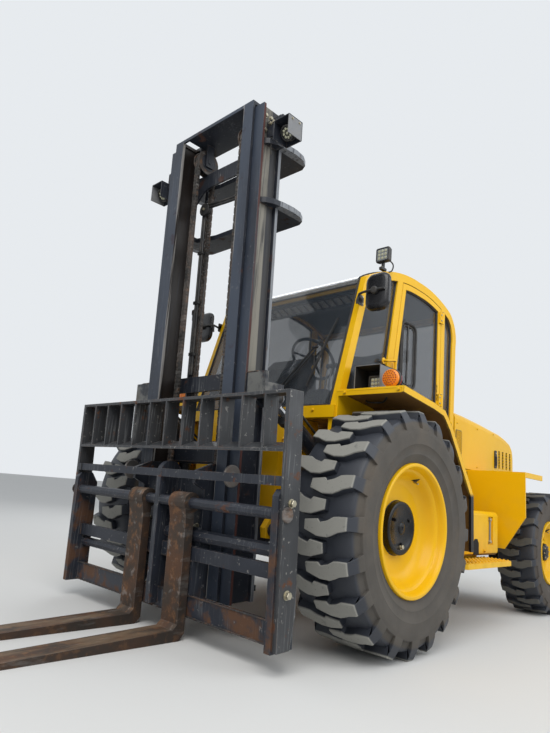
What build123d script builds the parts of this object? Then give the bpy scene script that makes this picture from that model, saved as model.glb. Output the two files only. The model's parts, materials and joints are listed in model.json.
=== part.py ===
from build123d import *
from math import acos, cos, radians, sin, tan
import os

# Rough terrain forklift with a two stage mast, a pin type fork carriage and a closed cab.
# Building frame, in millimetres: the floor is z = 0, the front axle stands at y = 0,
# the forks point to -Y and the machine's left side is +X.
# Every saved piece is then moved along Y, so that the origin lies under the middle of
# the whole length.

# Running gear
WHEELBASE = 2315
FRONT_R = 645
FRONT_X = 940
FRONT_SECTION = 445
FRONT_LUG_DEPTH = 42
FRONT_LUGS = 16
FRONT_LUG_WIDTH = 98
FRONT_LUG_SKEW = 26
FRONT_RIM_R = 355
FRONT_RIM_W = 390
REAR_R = 480
REAR_X = 964
REAR_SECTION = 312
REAR_LUG_DEPTH = 30
REAR_LUGS = 16
REAR_LUG_WIDTH = 60
REAR_LUG_SKEW = 22
TREAD_SHARE = 0.88
REAR_RIM_R = 250
REAR_RIM_W = 270
RIM_WALL = 14
SPINDLE_R = 30
AXLE_HALF = 80
RUN_CLEAR = 0.05
SEAT_CLEAR = 0.3
KINGPIN_X = 640
KINGPIN_R = 24
TRUNNION_Z = 640

# Mast, in its own frame: u is X, v runs rearward across the mast and w runs up along it
MAST_TILT = 2.3
MAST_FOOT_Y = -709
MAST_LOW = 190
OUTER_TOP = 3095
INNER_TOP = 3130
OUTER_OUT = 464
OUTER_WEB_IN = 420
OUTER_WEB_T = 20
OUTER_LIP_IN = 366
OUTER_FRONT_V = 24
OUTER_FLANGE_T = 20
OUTER_REAR_V = 200
INNER_WEB_IN = 340
INNER_WEB_T = 18
INNER_LIP_IN = 307
INNER_LIP_OUT = 391
INNER_FLANGE_T = 18
INNER_REAR_V = 166
PIVOT_V = 290
PIVOT_W = 560
PIVOT_R = 30
LIFT_CYL_U = 292
LIFT_CYL_V = 247
LIFT_BARREL_R = 36
LIFT_BARREL_TOP = 1930
LIFT_ROD_R = 22
GUARD_T = 34
GUARD_W = (2455, 2845)
SHEAVE_U = 225
SHEAVE_V = 150
SHEAVE_W = 2985
SHEAVE_R = 80
CHAIN_W = 44
CHAIN_T = 20

# Carriage, in the mast's frame
CARRIAGE_HALF = 965
POST_T = 24
POST_FRONT_V = -152
BACKREST_TOP = 1262
GRID_LOW = 986
SLATS = 11
SLAT_T = 12
SLAT_DEPTH = 92
SHAFT_V = -128
SHAFT_W = 690
SHAFT_R = 28
CENTRE_PLATE_T = 38
BAR_FRONT_V = -100
SIDE_PLATE_T = 38

# Forks
FORK_T = 51
FORK_W = 140
FORK_FACE_V = -161
FORK_LENGTH = 1220
FORK_TIP_T = 14
FORK_LEFT_U = 218
FORK_RIGHT_U = -178

# Tilt cylinders
TILT_CYL_X = 560
TILT_REAR_Y = 100
TILT_REAR_Z = 845
TILT_EYE_V = 140
TILT_EYE_W = 1272
TILT_PIN_R = 17
TILT_BARREL_R = 50
TILT_ROD_R = 25
TILT_BARREL_L = 628

# Chassis
FRAME_X = 360
FRAME_T = 40
FRAME_LOW = 520
FRAME_TOP = 800
FRAME_HEAD_Z = 1060
COWL_EDGE_Z = 1238
FRAME_FRONT = -330
FRAME_REAR = WHEELBASE + 385
ENGINE_LOW = 820
COUNTERWEIGHT_X = 480
COUNTERWEIGHT_FRONT = WHEELBASE - 55
COUNTERWEIGHT_REAR = WHEELBASE + 465
COUNTERWEIGHT_LOW = 600
TOW_R = 20
TOW_SETBACK = 50
DECK_Z = 1085
DECK_T = 16
DECK_FRONT = 1352
SKIRT_X = 480

# Cab
CAB_X = 680
CAB_TUBE = 50
CAB_FLOOR_Z = 1250
SILL_Z = 1330
GLASS_T = 8
A_FOOT = (-185, 1312)
A_TOP = (54, 2215)
ROOF_MID = (380, 2362)
ROOF_TOP = (765, 2410)
ROOF_BACK_MID = (1030, 2388)
ROOF_BACK = (1264, 2316)
REAR_MID = (1345, 2225)
REAR_TOP = (1370, 2060)
REAR_FOOT = (1346, 1085)
DOOR_HINGE_Y = 1112
DOOR_GAP = 6
DOOR_T = 40
DOOR_HINGES = (1520, 2180)
HINGE_X = 694
CAB_FRAME_W = 62
ROOF_T = 40
ROOF_SEAM_Y = 471
REAR_GLASS_Z = (1618, 2264)
ROOF_LAMP_Z = 2336.4

# Hood
HOOD_REAR = WHEELBASE + 279
HOOD_FRONT = 1380
HOOD_FRONT_Z = 1530
HOOD_ROUND = 55
HOOD_WALL = 12
HOOD_HINGE_X = 400
HOOD_HINGE_Y = 1372
HOOD_PIN_R = 6

# Fenders, tanks and steps
FENDER_OUT = 1135
FENDER_T = 12
FENDER_LINE = [(-185, 1404), (160, 1366), (300, 1340), (396, 1255), (530, 1088), (706, 860), (716, 520)]
REAR_FENDER_Y = WHEELBASE - 700
REAR_FENDER_LINE = [(CAB_X, DECK_Z), (FENDER_OUT, DECK_Z), (FENDER_OUT, 748), (980, 508), (CAB_X, 508)]
REAR_FENDER_END = WHEELBASE - 315
TANK_X = 980
TANK_FRONT = 800
TANK_REAR = 1480
TANK_LOW = 465
TANK_TOP = 770
STEP_W = 205
STEP_Z = 415
STEP_T = 32

FORK_REACH = FORK_FACE_V - FORK_LENGTH
FRONT_END = MAST_FOOT_Y + FORK_REACH * cos(radians(MAST_TILT))
REAR_END = WHEELBASE + REAR_R
SHIFT_Y = -(FRONT_END + REAR_END) / 2

MAST = Pos(0, MAST_FOOT_Y, 0) * Rot(MAST_TILT, 0, 0)
os.makedirs("parts", exist_ok=True)


def save(name, shape):
    """Write one node, moved so that the origin is under the middle of the length."""
    solids = [Pos(0, SHIFT_Y, 0) * solid for solid in shape.solids()]
    export_step(solids[0] if len(solids) == 1 else Compound(solids), f"parts/{name}.step")


def block(x, y, z):
    """Box between the given pairs of limits."""
    size = [abs(pair[1] - pair[0]) for pair in (x, y, z)]
    middle = [(pair[1] + pair[0]) / 2 for pair in (x, y, z)]
    return Pos(*middle) * Box(*size)


def side_plate(outline, x0, x1):
    """Plate with its outline in the YZ plane, between x0 and x1."""
    face = make_face(Polyline(*[(x0, y, z) for y, z in outline], close=True))
    return extrude(face, amount=x1 - x0, dir=(1, 0, 0))


def front_plate(outline, y0, y1):
    """Plate with its outline in the XZ plane, between y0 and y1."""
    face = make_face(Polyline(*[(x, y0, z) for x, z in outline], close=True))
    return extrude(face, amount=y1 - y0, dir=(0, 1, 0))


def floor_plate(outline, z0, z1):
    """Plate with its outline in the XY plane, between z0 and z1."""
    face = make_face(Polyline(*[(x, y, z0) for x, y in outline], close=True))
    return extrude(face, amount=z1 - z0, dir=(0, 0, 1))


def across(r, flats=8):
    """Corner radius of an outline in flats that stay r away from its middle."""
    return r / cos(radians(180 / flats))


def bar(start, end, r, flats=8, turn=0):
    """Bar in flats from one point to another, with its corners at r."""
    run = Vector(*end) - Vector(*start)
    return Plane(origin=start, z_dir=run) * extrude(RegularPolygon(r, flats, rotation=turn), amount=run.length)


def bore(start, end, r, flats=8):
    """Hole in which a bar of as many flats turns: its flats face that bar's corners, r from the middle."""
    return bar(start, end, across(r, flats), flats, 180 / flats)


def x_bar(x0, x1, y, z, r, flats=8):
    """Bar in flats along X."""
    return bar((x0, y, z), (x1, y, z), r, flats)


def z_bar(x, y, z0, z1, r, flats=8):
    """Bar in flats along Z."""
    return bar((x, y, z0), (x, y, z1), r, flats)


def rounded(corners, steps=3):
    """Outline with its corners rounded in short flats, from (a, b, corner radius) rows."""
    points = []
    for index, (a, b, r) in enumerate(corners):
        if r == 0:
            points.append((a, b))
            continue
        here = Vector(a, b)
        before = (Vector(*corners[index - 1][:2]) - here).normalized()
        after = (Vector(*corners[(index + 1) % len(corners)][:2]) - here).normalized()
        half = acos(before.dot(after)) / 2
        middle = here + (before + after).normalized() * (r / sin(half))
        first = here + before * (r / tan(half)) - middle
        last = here + after * (r / tan(half)) - middle
        for step in range(steps + 1):
            arm = (first * (steps - step) + last * step).normalized() * r
            points.append((middle.X + arm.X, middle.Y + arm.Y))
    return points


def mirrored(shape):
    """The same piece on the machine's other side."""
    return mirror(shape, about=Plane.YZ)


def both_sides(shape):
    """The piece and its mirror image, fused where they meet."""
    return shape + mirrored(shape)


def pair(shape):
    """The piece and its mirror image, as solids that don't touch."""
    return Compound(children=[*shape.solids(), *mirrored(shape).solids()])


def flat_ring(loop, flats):
    """Body carried round the X axis in flats, from (x, corner radius) rows."""
    turns = [radians(360 * (index + 0.5) / flats) for index in range(flats)]
    faces = []
    for index, turn in enumerate(turns):
        after = turns[(index + 1) % flats]
        for (x0, r0), (x1, r1) in zip(loop, loop[1:] + loop[:1]):
            corners = [(x0, r0, turn), (x1, r1, turn), (x1, r1, after), (x0, r0, after)]
            points = [(x, -r * sin(angle), r * cos(angle)) for x, r, angle in corners]
            points = [point for place, point in enumerate(points) if point not in points[:place]]
            if len(points) > 2:
                faces.append(make_face(Polyline(*points, close=True)).faces()[0])
    return Solid(Shell(faces))


# Tyres


def tyre_carcass(radius, section, rim_r, rim_w, lug_depth, flats):
    """Tyre without its lugs, in one flat for each lug."""
    half = section / 2
    # x, radius
    side = [
        (half * TREAD_SHARE, radius - lug_depth),
        (half, (rim_r + radius) / 2),
        (rim_w / 2 - RIM_WALL, across(rim_r + SEAT_CLEAR, flats)),
    ]
    return flat_ring(side + [(-x, r) for x, r in reversed(side)], flats)


def tyre_lug(radius, section, lug_depth, width, skew):
    """One lug on top of the tyre, bent from near the tread's middle out to the sidewall."""
    half = section / 2
    bend = half * 0.42
    edge = half * 0.97
    reach = (width * 0.92 + skew) / 2
    root = radius - 3 * lug_depth
    outline = Polyline(
        (half * 0.04, -reach, root),
        (bend, reach - width, root),
        (edge, reach - width, root),
        (edge, reach, root),
        (half * 0.04, width * 0.7 - reach, root),
        close=True,
    )
    lug = extrude(make_face(outline), amount=3 * lug_depth, dir=(0, 0, 1))
    slant = make_face(
        Polyline((half * 0.74, -half, radius), (half * 1.2, -half, radius),
                 (half * 1.2, -half, root), (edge, -half, radius - lug_depth * 1.5), close=True))
    return lug - extrude(slant, amount=section, dir=(0, 1, 0))


def save_tyres():
    # name, radius, section, rim radius, rim width, lug depth, lugs a side, lug width, skew, x, y
    rows = [
        ("front", FRONT_R, FRONT_SECTION, FRONT_RIM_R, FRONT_RIM_W, FRONT_LUG_DEPTH, FRONT_LUGS,
         FRONT_LUG_WIDTH, FRONT_LUG_SKEW, FRONT_X, 0),
        ("rear", REAR_R, REAR_SECTION, REAR_RIM_R, REAR_RIM_W, REAR_LUG_DEPTH, REAR_LUGS,
         REAR_LUG_WIDTH, REAR_LUG_SKEW, REAR_X, WHEELBASE),
    ]
    for name, radius, section, rim_r, rim_w, depth, lugs, width, skew, x, y in rows:
        carcass = tyre_carcass(radius, section, rim_r, rim_w, depth, 2 * lugs)
        lug = tyre_lug(radius, section, depth, width, skew)
        other = mirror(lug, about=Plane.YZ)
        pitch = 360 / lugs
        row = [Rot(index * pitch, 0, 0) * lug for index in range(lugs)]
        row += [Rot((index + 0.5) * pitch, 0, 0) * other for index in range(lugs)]
        whole = Pos(x, y, radius) * carcass.fuse(*row)
        save(f"{name}_tyre_left", whole)
        save(f"{name}_tyre_right", mirrored(whole))


# Wheels


def wheel(rim_r, rim_w, disc, cone, hub_r, hub_out, barrel, back, flats):
    """Rim, disc and hub in one piece, hollow behind the disc."""
    half = rim_w / 2
    # x, radius
    loop = [
        (hub_out, 0),
        (hub_out, hub_r - 8),
        (disc, hub_r),
        (disc, rim_r - cone),
        (half, rim_r - barrel - 6),
        (half, across(rim_r, flats)),
        (-half, across(rim_r, flats)),
        (-half, rim_r - barrel),
        (disc - 25, rim_r - 3 * barrel),
        (-back, hub_r + 15),
        (-back, 0),
    ]
    return flat_ring(loop, flats) - bore((-back - 1, 0, 0), (hub_out - 47, 0, 0), SPINDLE_R + RUN_CLEAR, 10)





def save_wheels():
    # name, rim radius, rim width, disc, cone, hub radius, hub end, barrel, back, flats, x, y, axle height
    rows = [
        ("front", FRONT_RIM_R, FRONT_RIM_W, 65, 106, 137, 103, 20, 60, 2 * FRONT_LUGS, FRONT_X, 0, FRONT_R),
        ("rear", REAR_RIM_R, REAR_RIM_W, 44, 86, 72, 96, 18, 70, 2 * REAR_LUGS, REAR_X, WHEELBASE, REAR_R),
    ]
    for name, *sizes, x, y, height in rows:
        whole = Pos(x, y, height) * wheel(*sizes)
        save(f"{name}_wheel_left", whole)
        save(f"{name}_wheel_right", mirrored(whole))


# Axles


def save_axles():
    # x, radius
    ball = flat_ring([(-165, 0), (-165, 105), (-90, 195), (90, 195), (165, 105), (165, 0)], 12)
    end = flat_ring([(620, 0), (620, 160), (655, 160), (665, 112), (862, 98), (875, 80), (875, 0)], 12)
    spindle = x_bar(874, FRONT_X + 55, 0, 0, SPINDLE_R, 10)
    tube = block((-621, 621), (-AXLE_HALF, AXLE_HALF), (-AXLE_HALF, AXLE_HALF))
    save("front_axle", Pos(0, 0, FRONT_R) * (ball + tube + both_sides(end + spindle)))

    half = KINGPIN_X - 10
    beam = front_plate(
        [(-half, REAR_R - 60), (-half + 60, REAR_R - 80), (half - 60, REAR_R - 80), (half, REAR_R - 60),
         (half, REAR_R + 60), (half - 60, REAR_R + 80), (-half + 60, REAR_R + 80), (-half, REAR_R + 60)],
        WHEELBASE - 70, WHEELBASE + 70)
    boss = z_bar(KINGPIN_X, WHEELBASE, REAR_R - 80, REAR_R + 80, 56)
    hole = bore((KINGPIN_X, WHEELBASE, REAR_R - 90), (KINGPIN_X, WHEELBASE, REAR_R + 90), KINGPIN_R + RUN_CLEAR)
    pivot = block((-70, 70), (WHEELBASE - 90, WHEELBASE + 90), (REAR_R + 60, TRUNNION_Z - SEAT_CLEAR))
    save("rear_axle", beam + both_sides(boss) + pivot - both_sides(hole))

    top = REAR_R + 80 + SEAT_CLEAR
    low = REAR_R - 80 - SEAT_CLEAR
    near = KINGPIN_X - 50
    far = KINGPIN_X + 110
    across_axle = (WHEELBASE - 50, WHEELBASE + 50)
    knuckle = block((near, far), across_axle, (top, top + 34))
    knuckle += block((near, far), across_axle, (low - 34, low))
    knuckle += block((far - 34, far), (WHEELBASE - 60, WHEELBASE + 60), (low - 34, top + 34))
    knuckle += z_bar(KINGPIN_X, WHEELBASE, low - 44, top + 44, KINGPIN_R)
    knuckle += x_bar(far - 1, REAR_X + 46, WHEELBASE, REAR_R, SPINDLE_R, 10)
    knuckle += block((KINGPIN_X + 10, KINGPIN_X + 60), (WHEELBASE - 190, WHEELBASE - 40), (low - 34, low - 4))
    save("steer_knuckle_left", knuckle)
    save("steer_knuckle_right", mirrored(knuckle))


# Chassis


def pivot_place():
    """Mast pivot axis in the building frame, as (y, z)."""
    turn = radians(MAST_TILT)
    y = MAST_FOOT_Y + PIVOT_V * cos(turn) - PIVOT_W * sin(turn)
    z = PIVOT_V * sin(turn) + PIVOT_W * cos(turn)
    return y, z


def save_chassis():
    pivot_y, pivot_z = pivot_place()
    inside = FRAME_X - FRAME_T / 2
    outside = FRAME_X + FRAME_T / 2
    rail = side_plate(
        [(FRAME_FRONT, FRAME_LOW), (WHEELBASE - 815, FRAME_LOW), (WHEELBASE - 665, FRAME_LOW + 120),
         (FRAME_REAR, FRAME_LOW + 120), (FRAME_REAR, FRAME_TOP), (700, FRAME_TOP), (500, FRAME_HEAD_Z),
         (FRAME_FRONT, FRAME_HEAD_Z)], inside, outside)
    ear = side_plate(
        [(FRAME_FRONT + 60, pivot_z + 130), (pivot_y - 20, pivot_z + 55), (pivot_y - 52, pivot_z + 10),
         (pivot_y - 40, pivot_z - 45), (FRAME_FRONT + 60, pivot_z - 60)], inside, outside)
    side = rail + ear + Pos(2 * FRAME_T + 22, 0, 0) * ear
    side += block((FRAME_X, outside + 2 * FRAME_T + 22), (FRAME_FRONT, FRAME_FRONT + 60),
                  (pivot_z - 60, pivot_z + 130))
    side -= bore((inside - 20, pivot_y, pivot_z), (outside + 200, pivot_y, pivot_z), PIVOT_R + RUN_CLEAR)
    seat = AXLE_HALF + SEAT_CLEAR
    side -= block((inside - 20, outside + 20), (-seat, seat), (FRONT_R - seat, FRONT_R + seat))
    frame = both_sides(side)
    # y0, y1, z0, z1
    crossbars = [
        (FRAME_FRONT, FRAME_FRONT + 40, 560, FRAME_HEAD_Z),
        (420, 460, 840, FRAME_HEAD_Z),
        (1240, 1300, 560, 760),
        (HOOD_FRONT + 120, HOOD_FRONT + 180, 740, ENGINE_LOW - SEAT_CLEAR),
        (WHEELBASE - 235, WHEELBASE - 175, 740, ENGINE_LOW - SEAT_CLEAR),
        (WHEELBASE - 120, WHEELBASE + 90, TRUNNION_Z, 760),
        (FRAME_REAR - 60, FRAME_REAR, 660, 780),
    ]
    for y0, y1, z0, z1 in crossbars:
        frame += block((-inside - 1, inside + 1), (y0, y1), (z0, z1))
    clamp = block((FRAME_X - 70, FRAME_X + 70), (-110, 110), (FRONT_R + seat, FRONT_R + 150))
    clamp += block((FRAME_X - 70, FRAME_X + 70), (-110, 110), (FRONT_R - 150, FRONT_R - seat))
    trunnion = side_plate(
        [(TILT_REAR_Y - 36, TILT_REAR_Z - 42), (TILT_REAR_Y + 20, TILT_REAR_Z - 50),
         (TILT_REAR_Y + 60, TILT_REAR_Z - 20), (TILT_REAR_Y + 60, TILT_REAR_Z + 40),
         (TILT_REAR_Y, TILT_REAR_Z + 44), (TILT_REAR_Y - 36, TILT_REAR_Z + 28)],
        TILT_CYL_X - 62, TILT_CYL_X - 38)
    trunnion += Pos(100, 0, 0) * trunnion
    trunnion += block((FRAME_X, TILT_CYL_X + 62), (TILT_REAR_Y + 52, TILT_REAR_Y + 82),
                      (TILT_REAR_Z - 50, TILT_REAR_Z + 40))
    trunnion += x_bar(TILT_CYL_X - 70, TILT_CYL_X + 70, TILT_REAR_Y, TILT_REAR_Z, TILT_PIN_R)
    frame += both_sides(clamp + trunnion)
    deck = block((-CAB_X, CAB_X), (DECK_FRONT, HOOD_REAR), (DECK_Z - DECK_T, DECK_Z))
    deck -= block((-300, 300), (HOOD_FRONT + 20, WHEELBASE - 65), (DECK_Z - 50, DECK_Z + 50))
    skirt_end = COUNTERWEIGHT_FRONT - 1
    skirt = block((SKIRT_X - DECK_T, SKIRT_X), (DECK_FRONT, skirt_end), (FRAME_TOP - 1, DECK_Z - 1))
    skirt += block((FRAME_X, SKIRT_X), (DECK_FRONT, skirt_end), (FRAME_TOP - DECK_T, FRAME_TOP))
    frame += deck + both_sides(skirt)
    save("chassis_frame", frame)

    save("engine_block", block((-270, 270), (HOOD_FRONT + 40, WHEELBASE - 75), (ENGINE_LOW, 1380)))

    top = DECK_Z - DECK_T - SEAT_CLEAR
    weight = side_plate(
        [(COUNTERWEIGHT_FRONT, top), (COUNTERWEIGHT_FRONT, FRAME_TOP + 4), (WHEELBASE + 105, FRAME_TOP + 4),
         (WHEELBASE + 155, COUNTERWEIGHT_LOW), (COUNTERWEIGHT_REAR - 140, COUNTERWEIGHT_LOW - 60),
         (COUNTERWEIGHT_REAR - 20, COUNTERWEIGHT_LOW - 60), (COUNTERWEIGHT_REAR, COUNTERWEIGHT_LOW),
         (COUNTERWEIGHT_REAR, top)], -COUNTERWEIGHT_X, COUNTERWEIGHT_X)
    for x0, x1, y0 in [(inside - 2, outside + 2, COUNTERWEIGHT_FRONT - 400),
                       (-outside - 2, -inside + 2, COUNTERWEIGHT_FRONT - 400), (-inside, inside, FRAME_REAR - 64)]:
        weight -= block((x0, x1), (y0, FRAME_REAR + 2), (400, FRAME_TOP + 2))
    weight -= Pos(0, COUNTERWEIGHT_REAR - TOW_SETBACK, 800) * Cylinder(TOW_R, 800)
    save("counterweight", weight)

    near = FRAME_X + 70
    tank = front_plate(
        rounded([(near, TANK_LOW, 22), (TANK_X, TANK_LOW, 30), (TANK_X, TANK_TOP, 30), (near, TANK_TOP, 22)]),
        TANK_FRONT, TANK_REAR)
    slot = block((TANK_X - 12, TANK_X + 5), (TANK_REAR - 175, TANK_REAR - 85), (540, 735))
    save("fuel_tank", tank - slot)
    save("hydraulic_tank", mirrored(tank))

    step_out = FENDER_OUT - 10
    step_in = step_out - STEP_W
    step = block((step_in, step_out), (640, 1380), (STEP_Z, STEP_Z + STEP_T))
    step = chamfer(step.edges().filter_by(Axis.Z), 25)
    hang = outside + SEAT_CLEAR
    for y in (860, 1240):
        step += block((hang, step_in + 1), (y, y + 14), (STEP_Z - 6, TANK_LOW - SEAT_CLEAR))
        step += block((hang, hang + 14), (y, y + 14), (STEP_Z - 6, FRAME_LOW + 60))
    save("steps", pair(step))


# Fenders and cowl


def strip(points, thickness):
    """Outline of a bent sheet below a line of points given from front to rear."""
    lower = []
    for index, (y, z) in enumerate(points):
        before = points[max(index - 1, 0)]
        after = points[min(index + 1, len(points) - 1)]
        run = Vector(after[0] - before[0], after[1] - before[1]).normalized()
        lower.append((y - thickness * -run.Y, z - thickness * run.X))
    return [*points, *reversed(lower)]


def save_fenders():
    sheet = side_plate(strip(FENDER_LINE, FENDER_T), CAB_X + SEAT_CLEAR, FENDER_OUT)
    lip = side_plate(strip([(y, z + 1) for y, z in FENDER_LINE], 38), FENDER_OUT - 14, FENDER_OUT)
    front = block((CAB_X + SEAT_CLEAR, FENDER_OUT), (-185, -173), (1366, 1402))
    well = side_plate([(-185, 1402), *FENDER_LINE[1:], (560, 520), (540, 900), (300, 1150), (-185, 1180)],
                      CAB_X + SEAT_CLEAR, CAB_X + 13)
    fender = sheet + lip + front + well
    save("front_fenders", pair(fender))

    panel = front_plate(REAR_FENDER_LINE, REAR_FENDER_Y, REAR_FENDER_Y + FENDER_T)
    top = block((CAB_X + SEAT_CLEAR, FENDER_OUT), (REAR_FENDER_Y, REAR_FENDER_END), (DECK_Z - FENDER_T, DECK_Z))
    rim = block((FENDER_OUT - 12, FENDER_OUT), (REAR_FENDER_Y, REAR_FENDER_END), (DECK_Z - 40, DECK_Z))
    stay = block((FRAME_X + 20 + SEAT_CLEAR, CAB_X + 20), (REAR_FENDER_Y, REAR_FENDER_Y + FENDER_T), (640, 780))
    save("rear_fenders", pair(panel + top + rim + stay))

    cowl_back = A_FOOT[0] - SEAT_CLEAR
    cowl = block((-CAB_X, CAB_X), (cowl_back - 20, cowl_back), (COWL_EDGE_Z, A_FOOT[1]))
    cowl += block((-FRAME_X - 40, FRAME_X + 40), (cowl_back - 20, cowl_back), (FRAME_HEAD_Z + SEAT_CLEAR, A_FOOT[1]))
    tub_x = CAB_X - CAB_TUBE - SEAT_CLEAR
    cowl += block((-tub_x, tub_x), (cowl_back - 1, cowl_back + 60), (A_FOOT[1] - 12, A_FOOT[1]))
    cowl += block((-tub_x, tub_x), (cowl_back + 48, cowl_back + 60), (CAB_FLOOR_Z - 1, A_FOOT[1]))
    floor = block((-tub_x, tub_x), (cowl_back - 1, 1200), (CAB_FLOOR_Z - 16, CAB_FLOOR_Z))
    whole = cowl + floor
    # y, foot
    for y, foot in [(-140, FRAME_HEAD_Z), (330, FRAME_HEAD_Z), (1060, FRAME_TOP)]:
        post = block((300, 420), (y, y + 120), (foot + SEAT_CLEAR, CAB_FLOOR_Z - 10))
        whole += both_sides(post)
    save("cowl_and_floor", whole)


# Cab


def cab_outline():
    """Side outline of the cab as a face in the YZ plane."""
    def at(point):
        return (0, point[0], point[1])

    edges = [
        Line(at((A_FOOT[0], CAB_FLOOR_Z)), at(A_FOOT)),
        Line(at(A_FOOT), at(A_TOP)),
        ThreePointArc(at(A_TOP), at(ROOF_MID), at(ROOF_TOP)),
        ThreePointArc(at(ROOF_TOP), at(ROOF_BACK_MID), at(ROOF_BACK)),
        ThreePointArc(at(ROOF_BACK), at(REAR_MID), at(REAR_TOP)),
        Line(at(REAR_TOP), at(REAR_FOOT)),
        Line(at(REAR_FOOT), at((A_FOOT[0], REAR_FOOT[1]))),
        Line(at((A_FOOT[0], REAR_FOOT[1])), at((A_FOOT[0], CAB_FLOOR_Z))),
    ]
    return make_face(Wire(edges))


def cab_region(points, inset):
    """Part of the cab's side outline, inset all round and cut to the given corners."""
    area = make_face(Polyline(*[(0, y, z) for y, z in points], close=True))
    return offset(cab_outline(), amount=-inset) & area


def grown(face, x0, x1):
    """Body with a face of the YZ plane as its section, between x0 and x1."""
    return Pos(x0, 0, 0) * extrude(face, amount=x1 - x0, dir=(1, 0, 0))


def save_cab():
    in_x = CAB_X - CAB_TUBE
    front_window = cab_region([(-200, 1430), (310, 1430), (480, 2500), (-200, 2500)], CAB_FRAME_W)
    door_hole = cab_region([(368, SILL_Z), (545, 2500), (DOOR_HINGE_Y, 2500), (DOOR_HINGE_Y, SILL_Z)],
                           CAB_FRAME_W)
    rear_window = cab_region([(1172, 1400), (1172, 2500), (1500, 2500), (1500, 1400)], CAB_FRAME_W)
    side = grown(cab_outline(), in_x, CAB_X)
    for hole in (front_window, rear_window, door_hole):
        side -= grown(hole, in_x - 5, CAB_X + 5)
    save("cab_side_left", side)
    save("cab_side_right", mirrored(side))

    # Door: the opening's outline, set in all round, and hung on two outside hinges
    leaf = cab_region(
        [(368 + DOOR_GAP, SILL_Z + DOOR_GAP), (545 + DOOR_GAP, 2500), (DOOR_HINGE_Y - DOOR_GAP, 2500),
         (DOOR_HINGE_Y - DOOR_GAP, SILL_Z + DOOR_GAP)], CAB_FRAME_W + DOOR_GAP)
    light = cab_region(
        [(368 + 66, SILL_Z + 90), (545 + 52, 2500), (DOOR_HINGE_Y - 50, 2500), (DOOR_HINGE_Y - 50, SILL_Z + 90)],
        CAB_FRAME_W + DOOR_GAP + 42)
    door = grown(leaf, CAB_X - DOOR_T, CAB_X) - grown(light, CAB_X - DOOR_T - 5, CAB_X + 5)
    for z in DOOR_HINGES:
        door += z_bar(HINGE_X, DOOR_HINGE_Y, z, z + 90, 9)
        door += block((CAB_X - 10, HINGE_X), (DOOR_HINGE_Y - 40, DOOR_HINGE_Y), (z, z + 90))
    save("cab_door", door)
    save("door_glass", grown(offset(light, amount=-SEAT_CLEAR), CAB_X - 26, CAB_X - 26 + GLASS_T))

    # Fixed glass: side panes, the curved windshield with its roof light, and the rear window
    pane_x = CAB_X - 30
    panes = []
    for hole in (front_window, rear_window, door_hole):
        pane = grown(offset(hole, amount=-SEAT_CLEAR), pane_x, pane_x + GLASS_T)
        panes.extend(mirrored(pane).solids())
        if hole is not door_hole:
            panes.extend(pane.solids())
    reach = in_x - SEAT_CLEAR
    skin = cab_outline() - offset(cab_outline(), amount=-GLASS_T)
    shell = cab_outline() - offset(cab_outline(), amount=-ROOF_T)
    bands = [
        (skin, -300, ROOF_SEAM_Y - SEAT_CLEAR, A_FOOT[1] + SEAT_CLEAR, 2500),
        (skin, 1280, 1500, REAR_GLASS_Z[0] + SEAT_CLEAR, REAR_GLASS_Z[1] - SEAT_CLEAR),
        (shell, ROOF_SEAM_Y, 1500, REAR_GLASS_Z[1], 2500),
        (shell, 1250, 1500, REAR_FOOT[1] + 1, REAR_GLASS_Z[0]),
    ]
    shapes = []
    for face, y0, y1, z0, z1 in bands:
        area = make_face(Polyline((0, y0, z0), (0, y1, z0), (0, y1, z1), (0, y0, z1), close=True))
        shapes.append(grown(face & area, -reach, reach))
    for shape in shapes[:2]:
        panes.extend(shape.solids())
    save("cab_glass", Compound(children=panes))
    save("cab_roof", shapes[2])
    ear = block((HOOD_HINGE_X - 12, HOOD_HINGE_X + 12), (REAR_FOOT[0], HOOD_HINGE_Y + 12),
                (HOOD_FRONT_Z - 12, HOOD_FRONT_Z + 12))
    ear -= bore((HOOD_HINGE_X - 20, HOOD_HINGE_Y, HOOD_FRONT_Z), (HOOD_HINGE_X + 20, HOOD_HINGE_Y, HOOD_FRONT_Z),
                HOOD_PIN_R + RUN_CLEAR)
    save("cab_rear_wall", shapes[3] + both_sides(ear))

    seat = block((-240, 240), (620, 1080), (1430, 1550)) + side_plate(
        [(1000, 1550), (1100, 1550), (1190, 2050), (1110, 2050)], -230, 230)
    seat += block((-180, 180), (680, 1020), (CAB_FLOOR_Z, 1430))
    save("operator_seat", seat)
    console = side_plate([(60, CAB_FLOOR_Z), (260, CAB_FLOOR_Z), (240, 1600), (120, 1720), (40, 1640)], -170, 170)
    column = bar((0, 200, 1600), (0, 378, 1788), 28)
    place = Pos(0, 380, 1790) * Rot(-45, 0, 0)
    rim = place * bar((0, 0, -12), (0, 0, 12), 192, 20) - place * bar((0, 0, -15), (0, 0, 15), 168, 20)
    spokes = place * (Box(350, 24, 10) + Box(24, 350, 10))
    save("dash_and_wheel", console + column + rim + spokes)


# Hood


def arched(line, x, drop, low):
    """Body under a line of (y, z) points, with its two upper edges rounded in three flats."""
    # x, height under the line
    half = [(x, drop), (x - drop * 0.13, drop * 0.5), (x - drop * 0.5, drop * 0.13), (x - drop, 0)]
    section = half + [(-a, b) for a, b in reversed(half)]
    rings = [[(x, y, low), *[(a, y, z - b) for a, b in section], (-x, y, low)] for y, z in line]
    faces = [make_face(Polyline(*ring, close=True)).faces()[0] for ring in (rings[0], rings[-1])]
    for ring, after in zip(rings, rings[1:]):
        for index in range(len(ring)):
            step = (index + 1) % len(ring)
            corners = (ring[index], ring[step], after[step], after[index])
            faces.append(make_face(Polyline(*corners, close=True)).faces()[0])
    return Solid(Shell(faces))


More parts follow.
